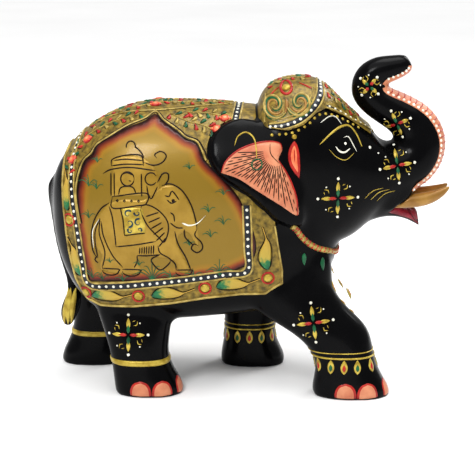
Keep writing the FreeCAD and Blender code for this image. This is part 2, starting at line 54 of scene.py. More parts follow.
# ---- sizes of the raised work ----
HEM_WIDTH = 1.7
CORD_WIDTH = 1.05
BAND_HALF_WIDTH = 1.9
DOT_RADIUS = 0.72
DOT_HEIGHT = 0.5
PAINT_HEIGHT = 0.1          # a brushed line
PASTE_HEIGHT = 0.5          # a line piped in paste
FILM_HEIGHT = 0.1
SINK = 0.25                 # how far each raised shape reaches into the surface below it
CROSS_SECTION = (-1, -0.7, 0, 0.7, 1)
BODY_VOXEL = 1.0
BODY_PASSES = 34
TUSK_VOXEL = 0.5
TUSK_PASSES = 8
HOLLOW_DEPTH = 0.06         # a corner this deep within one edge length is softened fully

# ---- routes on the right side (x, y, z), dropped on to the surface ----
HEM_LINE = [
    (-88, 0, 121), (-90, -10, 115), (-90, -22, 103), (-89, -28, 88), (-87, -28, 72), (-84, -28, 58),
    (-79, -28, 48), (-72, -30, 45), (-56, -33, 45.4), (-38, -34, 47.4), (-20, -34, 50.4), (-4, -33, 52),
    (9, -32, 51.4), (16, -31, 53.6), (16, -32, 64), (14, -33, 76), (12.4, -33, 86),
]
BAND_LINE = [
    (-82, 0, 126.5), (-83, -12, 123.4), (-84.6, -22, 114), (-84, -29, 98), (-82, -32, 82), (-79.6, -32, 67),
    (-77, -31, 56.6), (-66, -34, 56.2), (-48, -36, 58), (-30, -37, 60), (-12, -36, 62.4), (-1, -35, 64),
    (-0.6, -36, 76), (-1.4, -35, 96),
]
NECK_BAND_LINE = [(-7, -27, 134.5), (-6.6, -18, 137), (-6, -8, 138.6), (-6, 0, 139)]
ARCH_LINE = [
    (-79.6, -31.5, 86), (-81.8, -29, 101), (-79, -26, 114), (-75, -25.6, 118), (-73, -25, 123),
    (-66, -24, 126.8), (-58, -22, 131), (-50, -20, 134), (-45.4, -16.4, 136.8), (-41, -21.6, 133.4),
    (-34, -26, 129.4), (-30, -28.4, 126.6), (-25, -29.6, 125), (-22.4, -31.4, 121), (-20.4, -33, 116.6),
]
SPINE_LINE = [
    (-79, -3, 128.6), (-70, -8, 133), (-58, -13, 136.2), (-46, -15.4, 137.4), (-34, -14, 138),
    (-22, -10, 138.8), (-11, -5, 139.4),
]
COLLAR_LINE = [
    (20, -32, 88), (24, -31, 81), (28.6, -28.6, 76), (33.6, -24, 72.4), (38, -17, 70), (40.6, -9, 69),
    (41.4, 0, 69),
]
CAP_BAND_LINE = [
    (7, -30, 133.6), (15, -28.4, 132.8), (23, -26.4, 134.8), (29.4, -23, 139.6), (32.6, -18, 144.6),
    (33.4, -9, 149.8), (33.6, 0, 151.6),
]
DRAPE_LINE = [(36, -20.6, 141), (43, -17.6, 138), (50, -13.6, 133.4), (56.4, -8, 128.4), (60, -2, 127)]
FRINGE_LINE = [
    (9, -31, 130), (19, -29, 129.4), (27, -27, 133), (33.6, -24, 138), (44, -20, 136), (52, -15, 130),
]
UNDER_TRUNK = [
    (80, 0, 98), (88, 0, 104), (94, 0, 114), (95, 0, 123), (91, 0, 133), (82, 0, 141), (72, 0, 145),
    (66, 0, 149),
]
PANEL_REAR = [(-77, 57.5), (-79, 66), (-81.6, 82)]
PANEL_FRONT = [(-3, 96), (-2.6, 66)]

MEDALLIONS = [(-86.4, 87), (-79.4, 51), (-53, 51.2), (-21, 55.6), (9, 60)]
LEAVES = [(-88, 101, 92), (-84, 69, 106), (-66.4, 50.6, 2), (-37, 52.8, 6), (-6, 57.4, 5), (8, 74, 92)]


# ---- small geometry helpers ----
def smooth_line(points, step=0.7):
    """Even points along a smooth curve through the given ones, in two or three dimensions."""
    knots = np.array(points, float)
    padded = np.vstack([2 * knots[0] - knots[1], knots, 2 * knots[-1] - knots[-2]])
    t = np.linspace(0, 1, 17)[:-1, None]
    spans = []
    for p0, p1, p2, p3 in zip(padded, padded[1:], padded[2:], padded[3:]):
        spans.append(0.5 * (2 * p1 + (p2 - p0) * t + (2 * p0 - 5 * p1 + 4 * p2 - p3) * t ** 2
                            + (3 * p1 - p0 - 3 * p2 + p3) * t ** 3))
    fine = np.vstack(spans + [knots[-1:]])
    length = np.concatenate([[0], np.cumsum(np.linalg.norm(np.diff(fine, axis=0), axis=1))])
    wanted = np.linspace(0, length[-1], max(3, int(length[-1] / step) + 1))
    return np.column_stack([np.interp(wanted, length, fine[:, axis]) for axis in range(fine.shape[1])])


def beside(line, offset):
    """The same route moved sideways in the side view."""
    line = np.array(line, float)
    heading = np.gradient(line, axis=0)
    run = np.hypot(heading[:, 0], heading[:, 2]) + 1e-9
    moved = line.copy()
    moved[:, 0] -= offset * heading[:, 2] / run
    moved[:, 2] += offset * heading[:, 0] / run
    return moved


def arc(centre, radius, start, end, squash=1.0, steps=9):
    """Points of a round arc in the side view, angles in degrees."""
    turns = np.radians(np.linspace(start, end, steps))
    return [(centre[0] + radius * cos(a), centre[1] + radius * squash * sin(a)) for a in turns]


def scroll(centre, radius, turns, start, way=1, steps=14):
    """Points of a curl that winds in towards its middle."""
    points = []
    for step in range(steps + 1):
        share = step / steps
        angle = radians(start + way * 360 * turns * share)
        reach = radius * (1 - 0.8 * share)
        points.append((centre[0] + reach * cos(angle), centre[1] + reach * sin(angle)))
    return points


def edge_of(line, half, shape):
    """The line along one edge of a stroke in the side view."""
    path = smooth_line(line, 1.0)
    heading = np.gradient(path, axis=0)
    off = np.column_stack([-heading[:, 1], heading[:, 0]]) / np.linalg.norm(heading, axis=1)[:, None]
    return path + off * half * shape(np.linspace(0, 1, len(path)))[:, None]


def heading_at(degrees):
    """Step of 1 mm in the side view at an angle."""
    angle = radians(degrees)
    return np.array((cos(angle), sin(angle)))


def left_of(way):
    return np.array((-way[1], way[0]))


def even(share):
    return np.ones_like(share)


def tapered(share):
    """Brush stroke: thin at both ends."""
    return 0.25 + 0.75 * np.sin(np.pi * share) ** 0.6


def firm(share):
    """Line that thins only at its very ends."""
    return np.clip(np.sin(np.pi * share) * 4, 0.35, 1)


def comet(share):
    """Stroke with a round head that thins to a tail."""
    return np.clip(np.sqrt(np.clip(share * 9, 0, 1)) * (1 - share) ** 0.8, 0.06, 1)


def leaf(share):
    """Leaf: pointed at both ends, widest before the middle."""
    return np.clip(np.sin(np.pi * share ** 0.85) ** 0.8, 0.03, 1)


def bud(share):
    """Fat drop that runs out into a stalk."""
    return np.clip(np.sin(np.pi * np.clip(share * 1.35, 0, 1) ** 0.8) ** 0.75, 0.1, 1)


def nail(share):
    """Toenail: broad at the floor and round at the top."""
    return np.sqrt(np.clip(1 - share ** 2.6, 0.004, 1))


# ---- surfaces that the raised work lies on ----
def faces_out(corners, face):
    """True where a face of a paste layer looks away from the core of the figure."""
    middle = sum((corners[index] for index in face.vertices), Vector()) / len(face.vertices)
    outward = middle - Vector((middle.x, 0, min(middle.z, CORE_HEIGHT)))
    return face.normal.dot(outward.normalized()) > 0.35


def from_core(place):
    """Distance of a place from the core of the figure."""
    return (place - Vector((place.x, 0, min(place.z, CORE_HEIGHT)))).length


def leaps(seats, step):
    """True where a stroke would jump across a gap in the figure instead of lying on it."""
    places = np.array([place for place, _ in seats])
    return len(places) > 1 and np.linalg.norm(np.diff(places, axis=0), axis=1).max() > 6 * max(step, 0.7)


class Skin:
    """The surfaces that rough points are dropped on to; of thin layers, only the outer face."""

    def __init__(self, *objects, outer_only=False):
        self.trees = []
        for obj in objects:
            corners = [Vector((v.co.x / MM - CENTRE_SHIFT, v.co.y / MM, v.co.z / MM))
                       for v in obj.data.vertices]
            faces = [list(face.vertices) for face in obj.data.polygons
                     if not outer_only or faces_out(corners, face)]
            self.trees.append(BVHTree.FromPolygons(corners, faces))

    def nearest(self, point):
        """The outermost of the surfaces that lie about equally near."""
        found = [tree.find_nearest(Vector(point)) for tree in self.trees]
        limit = min(hit[3] for hit in found) + LAYER_STEP
        near = [hit for hit in found if hit[3] <= limit]
        place, normal, _, _ = max(near, key=lambda hit: from_core(hit[0]))
        return np.array(place), np.array(normal)

    def from_side(self, x, z):
        """Where a line across the figure first meets its right side."""
        hits = [tree.ray_cast(Vector((x, -FAR_AWAY, z)), Vector((0, 1, 0))) for tree in self.trees]
        hits = [hit for hit in hits if hit[0] is not None]
        if not hits:
            return self.nearest((x, -30, z))
        place, normal, _, _ = min(hits, key=lambda hit: hit[3])
        return np.array(place), np.array(normal)

    def seat(self, point):
        return self.from_side(*point) if len(point) == 2 else self.nearest(point)


class Piece:
    """Raised strokes, dots and films of one colour, which become one object."""

    made = []

    def __init__(self, name, skin, material, stands_for=(), slot=None, mirror=True):
        Piece.made.append(self)
        self.name = name
        self.skin = skin
        self.material = material
        self.slot = slot or SLOT_OF.get(material.name, "gilt_paste")
        self.stands_for = stands_for
        self.mirror = mirror
        self.points = []
        self.faces = []
        self.along = []
        self.across = []

    def add(self, points, faces, along, across):
        base = len(self.points)
        self.points += [tuple(point) for point in points]
        self.faces += [tuple(base + index for index in face) for face in faces]
        self.along += list(along)
        self.across += list(across)

    def stroke(self, line, width, height=PAINT_HEIGHT, shape=tapered, step=0.7, lift=0.0):
        """Rounded ribbon along a route, dropped on to the skin."""
        path = smooth_line(line, step)
        seats = [self.skin.seat(point) for point in path]
        if leaps(seats, step):
            return
        middle = np.array([place for place, _ in seats])
        normal = np.array([facing for _, facing in seats])
        heading = np.gradient(middle, axis=0)
        side = np.cross(normal, heading)
        side /= np.linalg.norm(side, axis=1)[:, None] + 1e-9
        share = np.linspace(0, 1, len(path))
        half = shape(share) * width / 2
        points = []
        for index in range(len(path)):
            for v in CROSS_SECTION:
                place, facing = self.skin.nearest(middle[index] + side[index] * half[index] * v)
                rise = lift + (height * sqrt(max(0.0, 1 - v * v)) if abs(v) < 1 else -SINK / 2)
                points.append(place + facing * rise)
            points.append(middle[index] - normal[index] * SINK)
        ring = len(CROSS_SECTION) + 1
        faces = []
        for index in range(len(path) - 1):
            for corner in range(ring):
                a = index * ring + corner
                b = index * ring + (corner + 1) % ring
                faces.append((a, b, b + ring, a + ring))
        last = (len(path) - 1) * ring
        faces.append(tuple(range(ring))[::-1])
        faces.append(tuple(last + corner for corner in range(ring)))
        self.add(points, faces, np.repeat(share, ring), list(CROSS_SECTION + (0,)) * len(path))

    def dot(self, point, radius=DOT_RADIUS, height=DOT_HEIGHT, sides=12, lift=0.0):
        """Low round drop of enamel."""
        place, normal = self.skin.seat(point)
        first = np.cross(normal, (0.3, 0.1, 0.95))
        first /= np.linalg.norm(first)
        second = np.cross(normal, first)
        points = []
        share = []
        for reach, rise in ((1, -SINK), (1, 0.15), (0.82, 0.62), (0.45, 0.93)):
            level = rise if rise < 0 else lift + rise * height
            for step in range(sides):
                turn = 2 * pi * step / sides
                points.append(place + normal * level
                              + radius * reach * (first * cos(turn) + second * sin(turn)))
                share.append(reach)
        points.append(place + normal * (lift + height))
        faces = [tuple(range(sides))[::-1]]
        for level in range(3):
            for step in range(sides):
                a = level * sides + step
                b = level * sides + (step + 1) % sides
                faces.append((a, b, b + sides, a + sides))
        top = 3 * sides
        faces += [(top + step, top + (step + 1) % sides, 4 * sides) for step in range(sides)]
        self.add(points, faces, [0.5] * len(points), share + [0])

    def dots(self, line, spacing, radius=DOT_RADIUS, height=DOT_HEIGHT, lift=0.0):
        path = smooth_line(line, 0.25)
        stride = max(1, int(round(spacing / 0.25)))
        for point in path[stride // 2::stride]:
            self.dot(tuple(point), radius, height, lift=lift)

    def film(self, outline, spacing=1.6, height=FILM_HEIGHT, reach=8.0):
        """Thin painted area; `along` runs from 0 at its edge to 1 at `reach` inside it."""
        edge = smooth_line(outline + outline[:1], spacing)[:-1]
        low, high = edge.min(0), edge.max(0)
        grid = [np.array((x, z)) for x in np.arange(low[0], high[0], spacing)
                for z in np.arange(low[1], high[1], spacing)]
        inner = [point for point in grid if inside(point, edge) and edge_distance(point, edge) > spacing / 2]
        flat = [Vector(point) for point in list(edge) + inner]
        loop = [(index, (index + 1) % len(edge)) for index in range(len(edge))]
        corners, _, triangles, _, _, _ = delaunay_2d_cdt(flat, loop, [], 1, 1e-5)
        seats = [self.skin.from_side(point.x, point.y) for point in corners]
        share = [min(1, edge_distance(np.array(point), edge) / reach) for point in corners]
        count = len(corners)
        points = [place + normal * height for place, normal in seats]
        points += [place - normal * SINK for place, normal in seats]
        faces = [tuple(triangle) for triangle in triangles]
        faces += [tuple(count + index for index in reversed(triangle)) for triangle in triangles]
        sides = dict.fromkeys(pair for triangle in triangles
                              for pair in zip(triangle, triangle[1:] + triangle[:1]))
        faces += [(b, a, a + count, b + count) for a, b in sides if (b, a) not in sides]
        self.add(points, faces, share * 2, [0] * len(points))

    def build(self):
        points = list(self.points)
        faces = list(self.faces)
        copies = 2 if self.mirror else 1
        if self.mirror:
            base = len(points)
            points += [(x, -y, z) for x, y, z in self.points]
            faces += [tuple(base + index for index in reversed(face)) for face in self.faces]
        mesh = bpy.data.meshes.new(self.name)
        mesh.from_pydata([((x + CENTRE_SHIFT) * MM, y * MM, z * MM) for x, y, z in points], [], faces)
        for label, values in (("along", self.along), ("across", self.across)):
            layer = mesh.attributes.new(label, "FLOAT", "POINT")
            layer.data.foreach_set("value", np.array(values * copies, np.float32))
        fix_normals(mesh)
        place_object(self.name, mesh, self.material, self.stands_for)


def shade_smooth(mesh):
    mesh.polygons.foreach_set("use_smooth", [True] * len(mesh.polygons))


def fix_normals(mesh):
    work = bmesh.new()
    work.from_mesh(mesh)
    bmesh.ops.recalc_face_normals(work, faces=work.faces)
    work.to_mesh(mesh)
    work.free()
    shade_smooth(mesh)


def into_scene(name, data):
    obj = bpy.data.objects.new(name, data)
    bpy.context.scene.collection.objects.link(obj)
    return obj


def place_object(name, mesh, material, stands_for):
    """A visible piece, tied to the nodes that it stands for."""
    obj = into_scene(name, mesh)
    mesh.materials.clear()
    mesh.materials.append(material)
    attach(obj, "root")
    for node in stands_for:
        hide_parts(node)
    return obj


def edge_distance(point, edge):
    """Distance from a point to the nearest side of a closed outline."""
    ends = np.roll(edge, -1, axis=0)
    run = ends - edge
    share = np.clip(((point - edge) * run).sum(1) / ((run ** 2).sum(1) + 1e-12), 0, 1)
    return float(np.linalg.norm(point - (edge + run * share[:, None]), axis=1).min())


def inside(point, edge):
    """True where a line from the point crosses the closed outline an odd number of times."""
    ends = np.roll(edge, -1, axis=0)
    spans = (edge[:, 1] > point[1]) != (ends[:, 1] > point[1])
    with np.errstate(divide="ignore", invalid="ignore"):
        cross = edge[:, 0] + (point[1] - edge[:, 1]) * (ends[:, 0] - edge[:, 0]) / (ends[:, 1] - edge[:, 1])
    return bool(np.count_nonzero(spans & (point[0] < cross)) % 2)


# ---- materials ----
def colour(red, green, blue):
    """Linear colour from ordinary 0 to 255 values."""
    parts = [value / 255 for value in (red, green, blue)]
    return tuple(p / 12.92 if p <= 0.04045 else ((p + 0.055) / 1.055) ** 2.4 for p in parts) + (1,)


def ramp(tree, source, stops):
    node = tree.nodes.new("ShaderNodeValToRGB")
    while len(node.color_ramp.elements) < len(stops):
        node.color_ramp.elements.new(0.5)
    for element, (place, value) in zip(node.color_ramp.elements, stops):
        element.position = place
        element.color = colour(*value)
    tree.links.new(source, node.inputs[0])
    return node.outputs[0]


def finish_material(name, stops, scale, rough, metallic=0.0, coat=0.4, bump=0.08, source=None, mottling=0.35,
                    bump_scale=None, specular=0.4):
    """Brushed colour: noise or a piece's own gradient picks the tint, and a finer noise gives the relief."""
    material = bpy.data.materials.new(name)
    material.use_nodes = True
    tree = material.node_tree
    new = tree.nodes.new
    link = tree.links.new
    shader = tree.nodes["Principled BSDF"]
    place = new("ShaderNodeTexCoord").outputs["Object"]
    noise = new("ShaderNodeTexNoise")
    noise.inputs["Scale"].default_value = scale
    noise.inputs["Detail"].default_value = 5
    link(place, noise.inputs["Vector"])
    driver = noise.outputs[0]
    if source:
        gradient = new("ShaderNodeAttribute")
        gradient.attribute_name = source
        wander = new("ShaderNodeMath")
        wander.operation = "MULTIPLY_ADD"
        link(noise.outputs[0], wander.inputs[0])
        wander.inputs[1].default_value = mottling
        link(gradient.outputs["Fac"], wander.inputs[2])
        driver = wander.outputs[0]
    link(ramp(tree, driver, stops), shader.inputs["Base Color"])
    spread = new("ShaderNodeMapRange")
    spread.inputs["To Min"].default_value = rough[0]
    spread.inputs["To Max"].default_value = rough[1]
    link(noise.outputs[0], spread.inputs["Value"])
    link(spread.outputs[0], shader.inputs["Roughness"])
    grain = new("ShaderNodeTexNoise")
    grain.inputs["Scale"].default_value = bump_scale or scale * 4
    link(place, grain.inputs["Vector"])
    relief = new("ShaderNodeBump")
    relief.inputs["Strength"].default_value = bump
    relief.inputs["Distance"].default_value = 0.0004
    link(grain.outputs[0], relief.inputs["Height"])
    link(relief.outputs[0], shader.inputs["Normal"])
    for label, value in (("Metallic", metallic), ("Specular IOR Level", specular), ("Coat Weight", coat),
                         ("Coat Roughness", 0.12)):
        shader.inputs[label].default_value = value
    return material


def plain_paint(name, dark, light, **look):
    """Paint mottled between two colours."""
    settings = dict(scale=260, rough=(0.25, 0.45), coat=0.12, specular=0.2)
    settings.update(look)
    return finish_material(name, [(0.32, dark), (0.68, light)], **settings)


BLACK = plain_paint("black_lacquer", (3, 3, 4), (7, 7, 8), scale=60, rough=(0.16, 0.32), coat=0.05, bump=0.12,
                    bump_scale=220, specular=0.04)
GOLD_FIELD = plain_paint("gilt_field", (70, 57, 18), (148, 122, 44), scale=420, metallic=0.2, bump=0.5,
                         bump_scale=1500)
GOLD_PANEL = finish_material(
    "gilt_panel",
    [(0.22, (36, 9, 9)), (0.34, (92, 26, 12)), (0.5, (136, 62, 16)), (0.68, (146, 106, 24)),
     (0.95, (130, 102, 26))],
    scale=90, rough=(0.28, 0.46), metallic=0.2, coat=0.15, specular=0.2, source="along", mottling=0.3)
GOLD_CORD = plain_paint("gilt_cord", (122, 100, 40), (192, 168, 90), metallic=0.2)
GOLD_BRIGHT = plain_paint("gilt_bright", (150, 122, 30), (206, 182, 76), metallic=0.3)
GOLD_SOFT = plain_paint("gilt_drawing", (142, 110, 32), (166, 132, 48), scale=120, metallic=0.25)
TUSK_GOLD = finish_material("tusk_gold", [(0.25, (112, 70, 22)), (0.7, (168, 126, 58))], scale=110,
                            rough=(0.25, 0.45), metallic=0.2, coat=0.15, specular=0.25)
NAVY = plain_paint("navy_enamel", (8, 12, 22), (20, 30, 40), coat=0.1, specular=0.2)
WHITE = plain_paint("white_enamel", (214, 212, 190), (250, 249, 238))
INK = plain_paint("ink_line", (12, 7, 5), (34, 20, 12), coat=0.0, specular=0.1)
RED = plain_paint("red_enamel", (140, 18, 18), (186, 42, 30))
CRIMSON = plain_paint("crimson_paint", (108, 14, 30), (152, 28, 46))
CORAL = plain_paint("coral_enamel", (220, 100, 62), (240, 138, 92))
GREEN = plain_paint("green_enamel", (6, 62, 36), (22, 100, 58))
TEAL = plain_paint("teal_enamel", (8, 34, 46), (24, 66, 74))
SALMON = finish_material("salmon_paint", [(0.3, (186, 104, 74)), (0.7, (216, 146, 108))], scale=130,
                         rough=(0.3, 0.5), coat=0.1, specular=0.2)
LEAF_PAINT = finish_material(
    "leaf_paint", [(0.12, (8, 66, 52)), (0.36, (34, 112, 62)), (0.5, (176, 152, 60)), (1.0, (184, 146, 56))],
    scale=700, rough=(0.3, 0.45), coat=0.1, specular=0.2, source="along", mottling=0.4)
ROSE_PAINT = finish_material(
    "rose_paint", [(0.1, (238, 166, 110)), (0.6, (226, 96, 60)), (1.0, (158, 26, 24))],
    scale=240, rough=(0.25, 0.4), coat=0.1, specular=0.2, source="across", mottling=0.2)
PAINTS = {                  # by slot; every other colour of raised work is gilt_paste
    "gilt_ground": [GOLD_PANEL], "white_enamel": [WHITE], "green_enamel": [GREEN, LEAF_PAINT],
    "red_enamel": [RED, CRIMSON, CORAL, ROSE_PAINT],
}
SLOT_OF = {paint.name: slot for slot, paints in PAINTS.items() for paint in paints}


# ---- the carved block ----
def values_of(items, name, width, kind=float):
    """One property of all vertices or edges, a row for each."""
    flat = np.zeros(len(items) * width, kind)
    items.foreach_get(name, flat)
    return flat.reshape(-1, width)


def neighbour_mean(points, edges, count):
    total = np.zeros_like(points)
    for axis in range(3):
        total[:, axis] += np.bincount(edges[:, 0], points[edges[:, 1], axis], len(points))
        total[:, axis] += np.bincount(edges[:, 1], points[edges[:, 0], axis], len(points))
    return total / count[:, None]


def carve_blends(mesh, passes, spread=7):
    """Softens the concave corners where limbs meet, as a carver rounds them, and evens the rest a little."""
    points = values_of(mesh.vertices, "co", 3)
    edges = values_of(mesh.edges, "vertices", 2, int)
    count = np.bincount(edges.ravel(), minlength=len(points)).astype(float)
    normals = values_of(mesh.vertices, "normal", 3)
    hollow = ((neighbour_mean(points, edges, count) - points) * normals).sum(1)
    weight = np.clip(hollow / (HOLLOW_DEPTH * MM), 0, 1)[:, None].repeat(3, 1)
    for _ in range(spread):
        weight = np.maximum(weight, neighbour_mean(weight, edges, count))
    weight = np.clip(weight, 0, 1)
    for _ in range(passes):
        points += (neighbour_mean(points, edges, count) - points) * weight * 0.8
    for _ in range(3):
        points += (neighbour_mean(points, edges, count) - points) * 0.5
    mesh.vertices.foreach_set("co", points.ravel())
    mesh.update()


def cad_copy(node, name, material):
    """The finished surface of a CAD node: its shape welded and shaded smooth between its sharp edges."""
    mesh = NODES[node].data.copy()
    mesh.name = name
    work = bmesh.new()
    work.from_mesh(mesh)
    bmesh.ops.remove_doubles(work, verts=work.verts, dist=1e-6)
    work.to_mesh(mesh)
    work.free()
    shade_smooth(mesh)
    mesh.set_sharp_from_angle(angle=radians(38))
    return place_object(name, mesh, material, (node,))


def resurfaced(node, name, material, voxel, passes):
    """A carved CAD node with an even surface, its hollow corners softened."""
    obj = cad_copy(node, name, material)
    remesh = obj.modifiers.new("remesh", "REMESH")
    remesh.mode = "VOXEL"
    remesh.voxel_size = voxel * MM
    bpy.context.view_layer.update()
    done = bpy.data.meshes.new_from_object(obj.evaluated_get(bpy.context.evaluated_depsgraph_get()))
    obj.modifiers.clear()
    obj.data = done
    carve_blends(done, passes)
    shade_smooth(done)
    done.materials.clear()
    done.materials.append(material)
    return obj


BLOCK = resurfaced("carved_body", "elephant_block", BLACK, BODY_VOXEL, BODY_PASSES)
CLOTH = cad_copy("saddle_cloth", "saddle_cloth_gilt", GOLD_FIELD)
CAP = cad_copy("head_cap", "head_cap_gilt", GOLD_FIELD)
for tusk_side in ("right", "left"):
    resurfaced("tusk_" + tusk_side, "tusk_gilt_" + tusk_side, TUSK_GOLD, TUSK_VOXEL, TUSK_PASSES)
ON_BLOCK = Skin(BLOCK)
ON_CLOTH = Skin(CLOTH, outer_only=True)
ON_CAP = Skin(CAP, outer_only=True)
ON_HEAD = Skin(CAP, BLOCK, outer_only=True)      # the cap, and the wood where it comes out over it


# ---- the saddle cloth ----
def cloth_borders():
    hem = Piece("hem_rope", ON_CLOTH, GOLD_CORD, ("hem_cord",))
    hem.stroke(HEM_LINE, HEM_WIDTH, 0.8, even)
    ribbon = Piece("band_ribbon", ON_CLOTH, NAVY)
    cords = Piece("band_cords", ON_CLOTH, GOLD_CORD,
                  ("band_cord_outer", "band_cord_inner", "neck_band_cords"))
    dots = Piece("band_pearls", ON_CLOTH, WHITE, ("cloth_band_dots",))
    for line in (BAND_LINE, NECK_BAND_LINE):
        ribbon.stroke(line, 2 * BAND_HALF_WIDTH, 0.16, even)
        for offset in (-BAND_HALF_WIDTH, BAND_HALF_WIDTH):
            cords.stroke(beside(line, offset), CORD_WIDTH, PASTE_HEIGHT, even)
        dots.dots(line, 3.6, lift=0.1)


def panel_ground():
    """Painted ground of the panel, with the arch and the spine that frame it."""
    arch = [(x, z) for x, _, z in ARCH_LINE]
    panel = Piece("panel_ground", ON_CLOTH, GOLD_PANEL)
    panel.film(PANEL_REAR + arch[1:] + PANEL_FRONT)
    rims = Piece("arch_rims", ON_CLOTH, GOLD_CORD, ("arch_cord_right", "arch_cord_left"))
    rims.stroke(ARCH_LINE, CORD_WIDTH, PASTE_HEIGHT, even)
    shade = Piece("arch_shade", ON_CLOTH, INK)
    for offset in (-1.0, 1.0):
        shade.stroke(beside(ARCH_LINE, offset), 0.9, 0.24, even)
    shade.stroke(beside(SPINE_LINE, -0.9), 0.6, 0.24, even)
    spine = Piece("spine_lines", ON_CLOTH, GOLD_CORD, ("spine_cord_right", "spine_cord_left"))
    spine.stroke(SPINE_LINE, CORD_WIDTH, PASTE_HEIGHT, even)


BUD_WIDTH = 6.6
BUD_SPINE = ((-9.6, -0.5), (-3.6, 0.6), (4, -0.4), (11.4, 1.3))      # run along the leaf, sway to its left


def cloth_ornaments():
    """Medallions and long leaves in the border below the band."""
    rings = Piece("medallion_rings", ON_CLOTH, RED, ("cloth_medallions",))
    hearts = Piece("medallion_hearts", ON_CLOTH, GOLD_BRIGHT)
    for x, z in MEDALLIONS:
        rings.stroke(arc((x, z), 2.8, 0, 360, steps=17), 1.0, 0.6, even, step=0.5)
        hearts.dot((x, z), 2.1, 0.9, sides=18)
    leaves = Piece("border_leaves", ON_CLOTH, LEAF_PAINT, ("cloth_leaves",))
    outlines = Piece("border_leaf_lines", ON_CLOTH, INK)
    for x, z, turn in LEAVES:
        way = heading_at(turn)
        spine = [np.array((x, z)) + way * run + left_of(way) * sway for run, sway in BUD_SPINE]
        leaves.stroke(spine, BUD_WIDTH, 0.5, bud)
        for side in (-1, 1):
            outlines.stroke(edge_of(spine, side * BUD_WIDTH / 2, bud), 0.5, 0.42, even)


VINES = [
    [(-86, -24, 108), (-84, -19, 118), (-79, -16, 124.6), (-71, -16, 129.4), (-62, -16.6, 133),
     (-53, -17, 135)],
    [(-38, -18, 135.6), (-30, -22, 133), (-22, -24, 131.6), (-14, -27, 128.6)],
    [(-30, -17, 136.4), (-21, -17, 136.4), (-12, -19, 136)],
    [(-78, -8, 128), (-68, -4, 134.5), (-54, -8, 138), (-40, -5, 140), (-26, -6, 140), (-12, -2, 140)],
]
ROSES = ((-12, -20, 135), (-15.6, -26, 131), (-78, -19, 124.4), (-84, -21, 114), (-46, -9, 139))


def vine(skin, pieces, line, spacing=2.2, reach=4.0):
    """Gilded stem with red, green and gilded strokes springing from it on alternate sides."""
    gold, red, green, ink = pieces
    gold.stroke(line, 0.7, 0.4)
    path = smooth_line(line, spacing)
    heading = np.gradient(path, axis=0)
    heading /= np.linalg.norm(heading, axis=1)[:, None]
    for index, (point, ahead) in enumerate(zip(path, heading)):
        place, normal = skin.nearest(point)
        side = np.cross(normal, ahead) * (1 if index % 2 else -1)
        tip = place + side * reach + ahead * random.uniform(1.2, 2.2)
        root = place + side * 0.5
        target = (red, green, gold)[index % 3]
        target.stroke([tip, (root + tip) / 2 + ahead * 0.4, root], 2.5, 0.6, comet, step=0.5)
        ink.stroke([root, (root + tip) / 2 - ahead * 0.7, tip - ahead * 1.1], 0.4, 0.25)


def spandrel_flowers():
    """Raised sprays between the arch and the spine, and along the crown of the back."""
    random.seed(11)
    gold = Piece("spandrel_scrolls", ON_CLOTH, GOLD_CORD, ("cloth_scrolls",))
    red = Piece("spandrel_strokes", ON_CLOTH, RED)
    green = Piece("spandrel_leaves", ON_CLOTH, GREEN)
    ink = Piece("spandrel_outlines", ON_CLOTH, INK)
    for line in VINES:
        vine(ON_CLOTH, (gold, red, green, ink), line)
    roses = Piece("spandrel_roses", ON_CLOTH, ROSE_PAINT, ("cloth_flowers",))
    for place in ROSES:
        roses.dot(place, 2.5, 1.2, sides=16)
        for turn in range(0, 360, 60):
            way = heading_at(turn)
            roses.dot((place[0] + 2.1 * way[0], place[1] - way[1], place[2] + 1.4 * way[1]), 1.0, 0.8)
    rosette = Piece("spine_rosette_petals", ON_CLOTH, GREEN, ("spine_rosette",))
    for way_x, way_y in ((1, 0.6), (-1, 0.6)):
        rosette.stroke([(-46 + way_x, -way_y, 141), (-46 + 5 * way_x, -5 * way_y, 141)], 2.4, 0.6, leaf)


# ---- the picture on the panel, in millimetres from its own lower left corner ----
PICTURE_CORNER = (-78, 57)
PICTURE_STROKE = 0.85
PICTURE_HEIGHT = 0.36
ANIMAL_OUTLINE = [
    (12, 40), (5, 32), (4, 20), (8, 15), (8, 7), (26, 6), (26, 14), (36, 14), (43, 12), (45, 7), (50, 8),
    (44, 22), (49, 27), (54, 19), (53, 33), (47, 46), (39, 49), (29, 42), (20, 42),
]
HOWDAH_OUTLINE = [
    (13, 43), (13.4, 54), (13, 60), (20, 62), (27.6, 61), (34, 56), (36, 49), (33, 43), (29.6, 44),
]
PATCH_OUTLINE = [(17.4, 37.6), (18.6, 32), (19.2, 24.6), (24, 25.4), (29, 26), (28.4, 34), (27, 38)]
PATCH_CURLS = (             # centre x and height, radius, angle at which it starts
    (21, 35, 2, 30), (25.4, 35.6, 1.6, 160), (21.6, 30.6, 2, 250), (25.8, 31, 2, 60), (22, 27, 1.4, 120),
    (26.4, 27.6, 1.2, 300),
)
GRASS = (                   # foot x and height, and how tall the tuft is
    (3, 2.4, 4), (8, 2, 3), (18, 2, 3), (32, 2, 7), (41, 3, 3.4), (52, 4, 3.6), (64, 5, 5), (2, 47, 4),
    (6, 46, 3), (2, 32, 3), (59, 36, 3), (60, 24, 3), (66, 30, 3.4), (50, 20, 2.4), (66, 44, 3),
    (50, 56, 2.4), (26, 10, 2.4), (6, 58, 2.4), (12, 11, 2),
)
GRASS_SCALE = 1.35
LARGE_TUFT = 6              # tufts taller than this have more blades


def in_picture(points):
    return [(PICTURE_CORNER[0] + x, PICTURE_CORNER[1] + z) for x, z in points]


